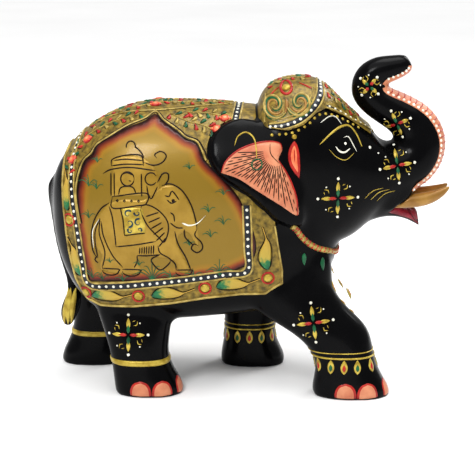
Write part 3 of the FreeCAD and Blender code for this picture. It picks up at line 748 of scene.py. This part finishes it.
FOOT_ARCHES = ((12, 8), (22, 8.5), (47, 7.5))        # middle of the foot, width
ANIMAL_LINES = [            # walking elephant seen from its right side
    [(12, 40), (8, 37), (4.5, 31), (3, 24), (3.5, 17), (5.5, 13)], [(7.5, 32.5), (5, 26), (5, 19), (6, 13)],
    [(5.5, 14), (4.5, 12), (6, 10.5)], [(7.5, 32), (7, 25), (9.5, 16), (8, 8)],
    [(8, 31), (9, 24), (13, 15), (18, 9)], [(25, 15), (25, 12), (23.5, 9)], [(25, 15), (30, 15), (36, 15.6)],
    [(36, 15.6), (32, 13.5), (32.5, 11), (36, 8), (40, 11), (41, 13)],
    [(43, 27), (44.5, 21), (48, 14.5), (50.5, 8)], [(35, 20), (36, 16.5), (40, 14), (43, 11), (43.5, 8)],
    [(37, 48.6), (41, 49.4), (45, 47.6), (48, 44.5), (51, 39), (53, 32), (53.5, 28)],
    [(53.5, 28), (52.5, 25), (55.5, 21.5), (56, 18.5), (53.5, 16.6), (50.8, 18.5), (52, 20.8), (54, 20)],
    [(47.5, 28), (48, 24), (51.5, 20.5)], [(38.5, 44), (40.5, 43.6), (42, 46), (45.2, 42)],
    [(39.5, 42), (41.5, 40.4), (44, 41.4)], [(41, 31), (44, 28.8), (47, 28.6)],
    [(41, 36), (42.6, 34.6), (43, 31.6)],
]
EAR_LINE = [
    (27, 37), (28, 39.4), (31.5, 39.2), (36, 36.5), (39.5, 32), (40, 27), (38, 21.8), (35.5, 24), (32.5, 27),
    (30, 30), (28, 34), (27, 37),
]
HOWDAH_LINES = [            # canopied seat, and a rider whose head is a plain circle
    [(13.5, 43), (29.5, 45), (29.6, 40), (25, 39), (13.8, 37.6), (13.5, 43)],
    [(9, 53.4), (13, 55.4), (22, 56.6), (34, 55.4)], [(13, 57), (13.5, 60), (20, 62), (27, 62), (28.4, 57.4)],
    [(13, 57), (20, 58), (28.4, 58)], [(24, 66), (27, 63.5), (28.4, 61)],
    [(28.5, 59), (33, 57.8), (37, 59), (39, 62), (36.5, 64), (33.5, 62.6), (34.5, 61)],
    [(18.2, 53.6), (20.8, 54.2), (23.4, 53.2)], [(21.4, 50.6), (22.6, 50.4)],
    [(14, 59.4), (20, 60.2), (28, 59.8)], [(16.6, 44), (17.4, 47), (20, 48), (23.4, 47.6), (25, 44.6)],
    [(30, 48.6), (30.6, 45), (32, 42.4), (33.6, 45), (35, 48)],
    [(35, 50), (37.4, 54), (40, 54), (40, 51), (38.4, 49)],
]
CLOTH_LINES = [             # the animal's saddle cloth
    [(12, 38.4), (13.5, 33), (14.6, 24), (15, 19)], [(15, 19), (24, 20.2), (34, 22)],
    [(17.4, 37.6), (18.6, 32), (19.2, 24.6)], [(19.2, 24.6), (24, 25.4), (29, 26)],
]


def picture_lines():
    """Every line of the picture: those listed point by point, and those that repeat or are round."""
    lines = ANIMAL_LINES + [EAR_LINE] + HOWDAH_LINES + CLOTH_LINES
    for x, width in FOOT_ARCHES:
        lines.append(arc((x, 7), width / 2, 180, 360, 0.55) + [(x + width / 2, 8), (x - width / 2, 8)])
    for step in range(6):
        inner = (35.5 + 0.7 * step, 36 - 2.4 * step)
        lines.append([inner, (inner[0] - 6 + 0.5 * step, inner[1] - 2 - 0.5 * step)])
    lines += [[(x, 43.4), (x - 0.2, 54)] for x in (13, 14.6, 27.6)]
    lines += [arc((22, 66), 2.2, -20, 200), arc((32, 51.6), 2.8, 30, 330)]
    lines.append(arc((20.8, 51.4), 3.2, 0, 360, steps=17))
    lines += [arc((x, 41.2), 0.5, 0, 360) for x in (16, 19.4, 22.8, 26.2)]
    lines += [[(26.4 + 1.1 * step, 19 + 0.2 * step), (26.2 + 1.1 * step, 15.8)] for step in range(7)]
    return lines


def grass(piece, foot, height):
    """Tuft of thin blades that arch outwards from one foot, the outer ones drooping."""
    large = height > LARGE_TUFT
    for lean in (-1, -0.72, -0.4, 0, 0.4, 0.72, 1) if large else (-1, -0.6, -0.2, 0.8):
        rise = height * (1 - 0.5 * abs(lean))
        knee = (foot[0] + lean * height * 0.22, foot[1] + 0.6 * rise)
        crest = (foot[0] + lean * height * 0.6, foot[1] + rise)
        tip = (foot[0] + lean * height, foot[1] + rise * (1.25 - 0.55 * abs(lean)))
        piece.stroke([foot, knee, crest, tip], 0.6 if large else 0.5, 0.32)


def panel_picture():
    fill = Piece("picture_fill", ON_CLOTH, GOLD_SOFT)
    for outline in (ANIMAL_OUTLINE, HOWDAH_OUTLINE):
        fill.film(in_picture(outline), spacing=1.4, height=FILM_HEIGHT + 0.06)
    ground = Piece("picture_patch_ground", ON_CLOTH, GOLD_BRIGHT)
    ground.film(in_picture(PATCH_OUTLINE), spacing=1.4, height=FILM_HEIGHT + 0.12)
    ink = Piece("picture_lines", ON_CLOTH, INK)
    for line in picture_lines():
        ink.stroke(in_picture(line), PICTURE_STROKE, PICTURE_HEIGHT, firm)
    ink.dot(in_picture([(42.4, 41.6)])[0], 0.9, 0.38)
    patch = Piece("picture_patch", ON_CLOTH, TEAL)
    for x, z, radius, start in PATCH_CURLS:
        patch.stroke(in_picture(scroll((x, z), radius, 1, start)), 1.6, 0.38, comet)
    tusk = Piece("picture_tusk", ON_CLOTH, WHITE)
    tusk.stroke(in_picture([(46.4, 31), (50, 29.8), (54, 31), (57.6, 34.6)]), 1.1, 0.5, comet)
    tusk.stroke(in_picture([(7, 32), (3.8, 26), (4, 18)]), 0.5, 0.4)
    green = Piece("panel_grass", ON_CLOTH, GREEN)
    for x, z, height in GRASS:
        grass(green, in_picture([(x, z)])[0], height * GRASS_SCALE)


# ---- the cap and the face ----
CAP_CURLS = ((11.5, 141.5, 330, -1), (23.5, 142.8, 200, 1))      # centre, angle of the start, way round
CAP_BOSS = (17, 149)
CAP_CURL_STEPS = 20


def cap_band():
    band = Piece("cap_band", ON_HEAD, NAVY)
    band.stroke(CAP_BAND_LINE, 3.4, 0.2, even)
    band.stroke(DRAPE_LINE, 2.4, 0.2, even)
    cords = Piece("cap_cords", ON_HEAD, GOLD_CORD, ("cap_band_cords", "cap_drape_cords"))
    for line, offset, width in ((CAP_BAND_LINE, BAND_HALF_WIDTH, CORD_WIDTH),
                                (DRAPE_LINE, 1.4, CORD_WIDTH * 0.8)):
        for side in (-offset, offset):
            cords.stroke(beside(line, side), width, PASTE_HEIGHT, even)
    pearls = Piece("cap_pearls", ON_HEAD, WHITE, ("cap_band_dots",))
    pearls.dots(CAP_BAND_LINE, 3.2, lift=0.15)
    pearls.dots(DRAPE_LINE, 3.2, 0.6, lift=0.15)


def cap_scrollwork():
    curls = Piece("cap_curls", ON_CAP, GOLD_CORD, ("cap_scrolls",))
    under = Piece("cap_curl_shades", ON_CAP, GREEN)
    fills = Piece("cap_curl_fills", ON_CAP, TUSK_GOLD)
    for x, z, start, way in CAP_CURLS:
        curls.stroke(scroll((x, z), 6.4, 1.3, start, way, CAP_CURL_STEPS), 1.5, 1.0)
        under.stroke(scroll((x, z - 0.2), 6.2, 1.3, start, way, CAP_CURL_STEPS), 3.0, 0.35)
        fills.stroke(scroll((x, z), 4.4, 1.0, start, way, CAP_CURL_STEPS), 1.6, 0.55)
    curls.stroke([(4.6, -27, 135.5), (4.4, -22, 142), (4.6, -12, 148)], 1.0, 0.6, even)
    curls.stroke([(9, -28, 136.6), (16, -27, 136.4), (23, -25, 138.4), (28, -21, 143.4), (29.6, -14, 149)],
                 0.8, 0.5)
    fills.stroke([(17, 144.5), (17.4, 141), (16.4, 137.6)], 2.2, 0.6, leaf)
    boss = Piece("cap_boss_petals", ON_CAP, RED, ("cap_bosses",))
    boss.stroke(arc(CAP_BOSS, 2.6, 0, 360, steps=15), 1.6, 0.6, even, step=0.5)
    boss.stroke([(7, -17, 147), (13, -13, 150)], 1.5, 0.5, comet)
    boss.stroke([(29, -15, 148.4), (23, -12, 151.4)], 1.5, 0.5, comet)
    heart = Piece("cap_boss_hearts", ON_CAP, GOLD_BRIGHT)
    heart.dot(CAP_BOSS, 2.3, 1.1, sides=18)


def cap_crown():
    """Sprays over the top of the cap and down the forehead."""
    pieces = (Piece("crown_stems", ON_CAP, GOLD_CORD), Piece("crown_petals", ON_CAP, RED),
              Piece("crown_leaves", ON_CAP, GREEN), Piece("crown_outlines", ON_CAP, INK))
    for line in ([(6, -6, 150), (16, -4, 154), (26, -5, 153)],
                 [(36, -12, 146), (44, -10, 142), (52, -8, 136)],
                 [(36, -3, 150), (44, -3, 146), (54, -2, 138)]):
        vine(ON_CAP, pieces, line)


def face_work():
    """Fringe of drops under the cap and the large drop on the cheek."""
    fringe = Piece("cap_fringe", ON_BLOCK, GOLD_BRIGHT, ("cap_fringe_dots",))
    fringe.dots(FRINGE_LINE, 3.2, 0.75)
    fringe.dot((21, 127.6), 1.2, 0.6)
    drop = Piece("cheek_drop_petals", ON_BLOCK, RED, ("cheek_drops",))
    drop.stroke([(21, 125.6), (21, 117), (23.4, 108.4)], 6.2, 0.35, leaf)
    heart = Piece("cheek_drop_hearts", ON_BLOCK, CORAL)
    heart.stroke([(21, 123.6), (21, 117), (22.8, 111)], 3.8, 0.55, leaf)
    line = Piece("cheek_drop_lines", ON_BLOCK, RED)
    line.stroke([(21, 122), (21.2, 116)], 0.8, 0.75)


EYE_CENTRE = (44, 123)


def around_eye(points):
    return [(EYE_CENTRE[0] + x, EYE_CENTRE[1] + z) for x, z in points]


def eyes():
    brow = Piece("brows", ON_BLOCK, GOLD_BRIGHT)
    brow.stroke(around_eye([(-11, 1), (-5.5, 6), (-1, 8.6), (3, 8.6), (6.6, 4.6), (9.2, -1)]), 1.2, 0.25)
    brow.stroke(around_eye([(-6.5, -1.4), (-3, -5), (1.4, -6.6), (5.4, -3.6)]), 0.45, 0.15)
    # White enamel round the eye: the real eye whites, a painted highlight on the brow ridge and a painted
    # glint on the pupil
    white = Piece("eye_whites_and_painted_highlights", ON_BLOCK, WHITE)
    white.stroke(around_eye([(-3.4, -0.2), (-1.6, -2.4), (1, -3), (3.4, -1.4)]), 1.0, 0.2)
    white.stroke(around_eye([(0.4, 3.8), (2.6, 3.9), (4.8, 0.4), (6.6, -3)]), 0.55, 0.2)
    # Painted highlight: a white arc where light would catch the ridge of the brow above the eye
    white.stroke(around_eye([(-10.8, 10.8), (-6.6, 13.4), (-3.4, 13), (-0.6, 9.6)]), 0.6, 0.15)
    # Painted glint: a white dot of reflected light on the glossy pupil
    white.dot(around_eye([(1.2, 1)])[0], 0.65, 0.25)


# ---- the ears ----
EAR_LINING = [
    (-13, 112), (-11, 117), (-6, 121.5), (1, 124.4), (8, 125.4), (14, 124.6), (15.4, 121.6), (13.6, 117),
    (17, 112), (20, 106), (22.4, 98.6), (22.8, 91), (14, 97), (4, 103.6), (-5, 109.4),
]
EAR_FOCUS = (13, 121)
EAR_RIBS = 34
EAR_RIB_TURN = 3.3          # degrees from one rib to the next


def ear_ribs(piece):
    """Ribs that fan out from the root of the ear; every second one is broken into dashes."""
    edge = smooth_line(EAR_LINING + EAR_LINING[:1], 0.5)
    focus = np.array(EAR_FOCUS)
    for step in range(EAR_RIBS):
        way = heading_at(180 + EAR_RIB_TURN * step)
        reach = 8.0
        while inside(focus + way * (reach + 1.6), edge):
            reach += 0.5
        if step % 2 == 0:
            piece.stroke([focus + way * 6.5, focus + way * reach], 0.62, 0.28, firm)
            continue
        for dash in np.arange(9 + step % 4, reach - 2, 4.4):
            piece.stroke([focus + way * dash, focus + way * (dash + 2.4)], 0.62, 0.28)


def ear_work():
    lining = Piece("ear_linings", ON_BLOCK, SALMON)
    lining.film(EAR_LINING, spacing=1.4)
    rim = Piece("ear_rims", ON_BLOCK, RED)
    rim.stroke(EAR_LINING[:7], 1.0, 0.3)
    rim.stroke(EAR_LINING[7:12], 1.0, 0.3)
    ribs = Piece("ear_ribs", ON_BLOCK, INK)
    ear_ribs(ribs)
    ribs.stroke([(9.6, 124.6), (10, 120), (14, 115.6)], 0.55, 0.25)
    curl = Piece("ear_curls", ON_BLOCK, GOLD_BRIGHT, ("ear_scrolls",))
    curl.stroke([(-7, 124), (-5.4, 128), (-1.6, 129.6), (2, 127), (3.2, 122), (3.4, 118)], 0.9, 0.4)
    ring = Piece("ear_flowers", ON_BLOCK, GREEN)
    ring.stroke(arc((3.6, 115.6), 2.4, 0, 360, steps=15), 0.8, 0.35, even, step=0.5)


# ---- painted sprays on the black lacquer ----
MOTIFS = [(42, 98, 0, 9.6), (70.6, 112, 8, 8.6), (70.5, 131, 25, 7), (57, 149, 50, 5.6)]
LEG_MOTIFS = [(-58.5, 31, 0, 9.6), (31, 38, 8, 9.6)]


def spray(pieces, x, z, turn, size):
    """Cross of four gilded petals, each with an enamel heart and a pearl, and a curl in every corner."""
    gold, red, green, pearls = pieces
    middle = np.array((x, z))
    for quarter in range(4):
        way = heading_at(turn + 90 * quarter)
        off = left_of(way)
        heart = red if quarter % 2 == 0 else green
        gold.stroke([middle + way * size * 0.3, middle + way * size * 0.84], 2.3, 0.3, leaf)
        heart.stroke([middle + way * 0.7, middle + way * size * 0.5], 1.9, 0.42, leaf)
        pearls.dot(tuple(middle + way * size), 0.72, 0.45)
        corner = middle + (way + off) * size * 0.46
        gold.stroke([corner - way * 1.8, corner - way * 0.2 + off * 0.4, corner + off * 2.1], 0.6, 0.3)
        gold.stroke([corner - way * 2.4 + off * 2, corner - way * 1 + off * 2.4], 0.55, 0.3)
        pearls.dot(tuple(corner + (way + off) * 1.2), 0.4, 0.3)


def sprays():
    """Sprays on the head and trunk, and on the right legs only."""
    for label, places, nodes in (("head", MOTIFS, ("cheek_motifs", "trunk_motifs")),
                                 ("leg", LEG_MOTIFS, ("leg_motifs",))):
        both = label == "head"
        pieces = (Piece(label + "_spray_lines", ON_BLOCK, GOLD_BRIGHT, nodes, mirror=both),
                  Piece(label + "_spray_petals", ON_BLOCK, RED, mirror=both),
                  Piece(label + "_spray_leaves", ON_BLOCK, GREEN, mirror=both),
                  Piece(label + "_spray_pearls", ON_BLOCK, WHITE, mirror=both))
        for place in places:
            spray(pieces, *place)


TRUNK_LIP = [(65.4, 0, 149.2), (68.4, 0, 150.4), (72, 0, 152.4), (77, 0, 155.8), (78, 0, 158.6)]
STRIP_WIDTH = 23.0
LIP_WIDTH = 18.0


def upwards(share):
    """Painted strip that is narrower higher up the trunk."""
    return 1 - 0.34 * share


def strip_edge(line, width, shape):
    """The right-hand edge of a strip painted on the underside of the trunk."""
    path = smooth_line(line, 2.0)
    heading = np.gradient(path, axis=0)
    edge = []
    for point, ahead, half in zip(path, heading, shape(np.linspace(0, 1, len(path))) * width / 2):
        place, normal = ON_BLOCK.nearest(point)
        side = np.cross(normal, ahead)
        side /= np.linalg.norm(side) * (-1 if side[1] > 0 else 1)
        edge.append(tuple(place + side * half))
    return edge


def trunk_work():
    strip = Piece("trunk_underside", ON_BLOCK, SALMON)
    for line, width in ((UNDER_TRUNK, STRIP_WIDTH), (TRUNK_LIP, LIP_WIDTH)):
        for share in (0, 0.25, 0.5, 0.75, 0.92):
            strip.stroke(strip_edge(line, width * share, upwards), width / 6, 0.2, even)
    marks = Piece("trunk_marks", ON_BLOCK, RED)
    for x, _, z in smooth_line(UNDER_TRUNK, 3.2)[1:-1]:
        marks.stroke([(x, -1, z), (x, -5, z), (x - 1, -8, z)], 0.6, 0.3, lift=0.15)
    dots = Piece("trunk_pearls", ON_BLOCK, WHITE, ("trunk_dots",))
    dots.dots(strip_edge(UNDER_TRUNK, STRIP_WIDTH, upwards), 2.7, 0.75, lift=0.2)
    dots.dots(strip_edge(TRUNK_LIP, LIP_WIDTH, upwards), 2.4, 0.65, lift=0.2)


JAW_SIDE = [
    (67.5, 87.4), (72, 89.6), (78, 88.4), (81.2, 87.2), (82.3, 83.6), (83.3, 80), (79, 83), (73.7, 85.2),
]


def mouth():
    lip = Piece("lower_lip", ON_BLOCK, CRIMSON)
    lip.stroke([(70, 0, 92), (75, 0, 90), (79, 0, 89), (82, 0, 87.8)], 9, 0.2, even)
    lip.film(JAW_SIDE, spacing=1.0, height=0.16)
    whiskers = Piece("whisker_lines", ON_BLOCK, GOLD_BRIGHT)
    for step in range(3):
        x = 3 * step
        whiskers.stroke([(55 + x, 97 - step), (59 + x, 100.5 - step), (64 + x, 101.6 - step)], 0.4, 0.15)


def tail_tuft():
    tuft = Piece("tail_tuft", ON_BLOCK, GOLD_BRIGHT)
    for x in (-94, -92, -90):
        tuft.stroke([(x + 1.5, -2, 46), (x, -4, 36), (x - 0.8, -2, 26)], 3.4, 0.35, leaf)


# ---- legs and chest ----
LEGS = {                    # centre x and centre y at band height, then centre x at the foot
    "right_hind": (-53.5, -24, -49.5), "left_hind": (-81, 24, -84),
    "right_front": (46, -24, 50), "left_front": (-1, 24, 0.5),
}
LEG_REACH = 24              # farther out than any leg's surface
BANGLE_LEVEL = 17
ANKLET_LEVEL = 20.5
ANKLET_LINE_LEVEL = 23
DROP_TOP = 19.8
DROP_LENGTH = 7
DROPS_ROUND_LEG = 12
NAIL_TURNS = (104, 58, 12)  # degrees from straight ahead
SOLE_LEVEL = 1.0
NAIL_TOP = 8.4
NAIL_WIDTH = 12.6
NAIL_RIM = 1.8


def round_leg(x, y, z, start=0, end=360, steps=33):
    """Points on the surface round a leg at one height."""
    found = []
    for angle in np.radians(np.linspace(start, end, steps)):
        way = Vector((cos(angle), sin(angle), 0))
        place, _, _, _ = ON_BLOCK.trees[0].ray_cast(Vector((x, y, z)) + way * LEG_REACH, -way)
        found.append(tuple(place) if place else (x + 14 * way.x, y + 12 * way.y, z))
    return found


def leg_band(label, x, y):
    """Bangle round a hind leg, or the two lines of an anklet round a fore leg."""
    hind = label.endswith("hind")
    node = ("bangle_" if hind else "anklet_") + label
    band = Piece("band_" + label, ON_BLOCK, GOLD_BRIGHT, (node,), mirror=False)
    if hind:
        band.stroke(round_leg(x, y, BANGLE_LEVEL), 3.0, 0.5, even)
    else:
        band.stroke(round_leg(x, y, ANKLET_LEVEL), 1.0, 0.5, even)
        band.stroke(round_leg(x, y, ANKLET_LINE_LEVEL), 0.6, 0.3, even)


def anklet_drops(side, x, y):
    """Gilded drops with green and red hearts in turn, hanging round a fore leg."""
    rims = Piece("drop_rims_" + side, ON_BLOCK, GOLD_BRIGHT, ("anklet_drops_" + side,), mirror=False)
    hearts = (Piece("drop_greens_" + side, ON_BLOCK, GREEN, mirror=False),
              Piece("drop_reds_" + side, ON_BLOCK, RED, mirror=False))
    for index, top in enumerate(round_leg(x, y, DROP_TOP, steps=DROPS_ROUND_LEG + 1)[:-1]):
        low = (top[0], top[1], top[2] - DROP_LENGTH)
        rims.stroke([low, top], 4.0, 0.3, leaf)
        heart = [(low[0], low[1], low[2] + 1.2), (top[0], top[1], top[2] - 2.2)]
        hearts[index % 2].stroke(heart, 2.3, 0.5, leaf)


def leg_bands():
    for label, (x, y, _) in LEGS.items():
        leg_band(label, x, y)
        if label.endswith("front"):
            anklet_drops(label.split("_")[0], x, y)


def toenails():
    """Nails round the outer side of each foot: three on the right feet, two on the left."""
    nails = Piece("toenails", ON_BLOCK, SALMON, mirror=False)
    nail_rims = Piece("toenail_rims", ON_BLOCK, RED, mirror=False)
    for _, y, foot_x in LEGS.values():
        for turn in [-turn for turn in NAIL_TURNS] if y < 0 else NAIL_TURNS[:2]:
            foot = np.array(round_leg(foot_x, y, SOLE_LEVEL, turn, turn + 1, 2)[0])
            high = np.array(round_leg(foot_x, y, NAIL_TOP, turn, turn + 1, 2)[0])
            nail_rims.stroke([foot, high], NAIL_WIDTH, 0.25, nail)
            nails.stroke([foot, foot + 0.88 * (high - foot)], NAIL_WIDTH - NAIL_RIM, 0.4, nail)


def chest_work():
    rope = Piece("collar_rope", ON_BLOCK, GOLD_CORD, ("collar",), "red_enamel")
    rope.stroke(COLLAR_LINE, 3.0, 1.6, even)
    twist = Piece("collar_twists", ON_BLOCK, RED)
    for x, y, z in smooth_line(COLLAR_LINE, 2.4)[1:-1]:
        twist.stroke([(x - 0.8, y, z - 1.2), (x + 0.8, y, z + 1.2)], 0.9, 0.5, even, lift=1.1)
    drops = Piece("collar_drop_beads", ON_BLOCK, GREEN, ("collar_pendants",))
    for x, y, z in ((26.6, -30, 68.4), (34, -24, 65)):
        drops.stroke([(x, y, z + 3), (x, y, z - 3)], 2.6, 0.5, leaf)
    hatch = Piece("chest_strokes", ON_BLOCK, GOLD_BRIGHT)
    hearts = Piece("chest_hearts", ON_BLOCK, RED)
    for x, y, z in ((44, -22, 56), (47, -20, 48), (49, -20, 41)):
        hatch.stroke([(x, y, z), (x + 1, y + 4, z - 5)], 3.0, 0.35, leaf)
        hearts.stroke([(x, y, z - 1), (x + 0.7, y + 2.6, z - 4)], 1.4, 0.5, leaf)


# ---- floor, lights and camera, in metres ----
LAMPS = (                   # name, place, width, power in watts
    ("key", (-0.35, -0.75, 0.9), 0.3, 6), ("top", (0.1, 0.1, 1.1), 0.5, 4), ("rim", (0.6, 0.7, 0.7), 0.4, 4),
)
LAMP_TARGET = (0, 0, 0.07)
SKY_STRENGTH = 0.45
SUN_STRENGTH = 1.9
SUN_SPREAD = 70             # degrees
SUN_TILT = 14
FLOOR_HALF = 9
VIEW_DISTANCE = 0.7
VIEW_ELEVATION = 13
VIEW_AZIMUTH = 2
VIEW_TARGET = (-0.005, 0, 0.0721)
VIEW_LENS = 106.1           # millimetres, for a sensor 36 mm wide


def pale_floor():
    mesh = bpy.data.meshes.new("floor")
    corners = [(x * FLOOR_HALF, y * FLOOR_HALF, 0) for x, y in ((-1, -1), (1, -1), (1, 1), (-1, 1))]
    mesh.from_pydata(corners, [], [(0, 1, 2, 3)])
    floor = into_scene("floor", mesh)
    mesh.materials.append(plain_paint("floor_paint", (250, 250, 250), (254, 254, 254), scale=3,
                                      rough=(0.6, 0.7), coat=0.0, bump=0.0))


def studio():
    world = bpy.data.worlds.new("studio")
    world.use_nodes = True
    world.node_tree.nodes["Background"].inputs[0].default_value = (1, 1, 1, 1)
    world.node_tree.nodes["Background"].inputs[1].default_value = SKY_STRENGTH
    bpy.context.scene.world = world
    for name, place, size, power in LAMPS:
        light = bpy.data.lights.new(name, "AREA")
        light.size = size
        light.energy = power
        lamp = into_scene(name, light)
        lamp.location = place
        lamp.rotation_euler = (Vector(LAMP_TARGET) - Vector(place)).to_track_quat("-Z", "Y").to_euler()


def soft_sun():
    """Even light from above, with the broad soft shadow of an overcast sky."""
    light = bpy.data.lights.new("sun", "SUN")
    light.energy = SUN_STRENGTH
    light.angle = radians(SUN_SPREAD)
    into_scene("sun", light).rotation_euler = (radians(SUN_TILT), 0, 0)


def camera():
    bpy.context.scene.view_settings.view_transform = "Standard"
    elevation, azimuth = radians(VIEW_ELEVATION), radians(VIEW_AZIMUTH)
    way = Vector((sin(azimuth) * cos(elevation), -cos(azimuth) * cos(elevation),
                  sin(elevation)))
    data = bpy.data.cameras.new("view")
    data.lens = VIEW_LENS
    data.sensor_width = 36
    eye = into_scene("view", data)
    eye.location = Vector(VIEW_TARGET) + way * VIEW_DISTANCE
    eye.rotation_euler = (-way).to_track_quat("-Z", "Y").to_euler()
    bpy.context.scene.camera = eye


cloth_borders()
panel_ground()
cloth_ornaments()
spandrel_flowers()
panel_picture()
cap_band()
cap_scrollwork()
cap_crown()
face_work()
eyes()
ear_work()
sprays()
trunk_work()
mouth()
tail_tuft()
leg_bands()
toenails()
chest_work()
for raised_work in Piece.made:
    raised_work.build()
pale_floor()
studio()
soft_sun()
camera()
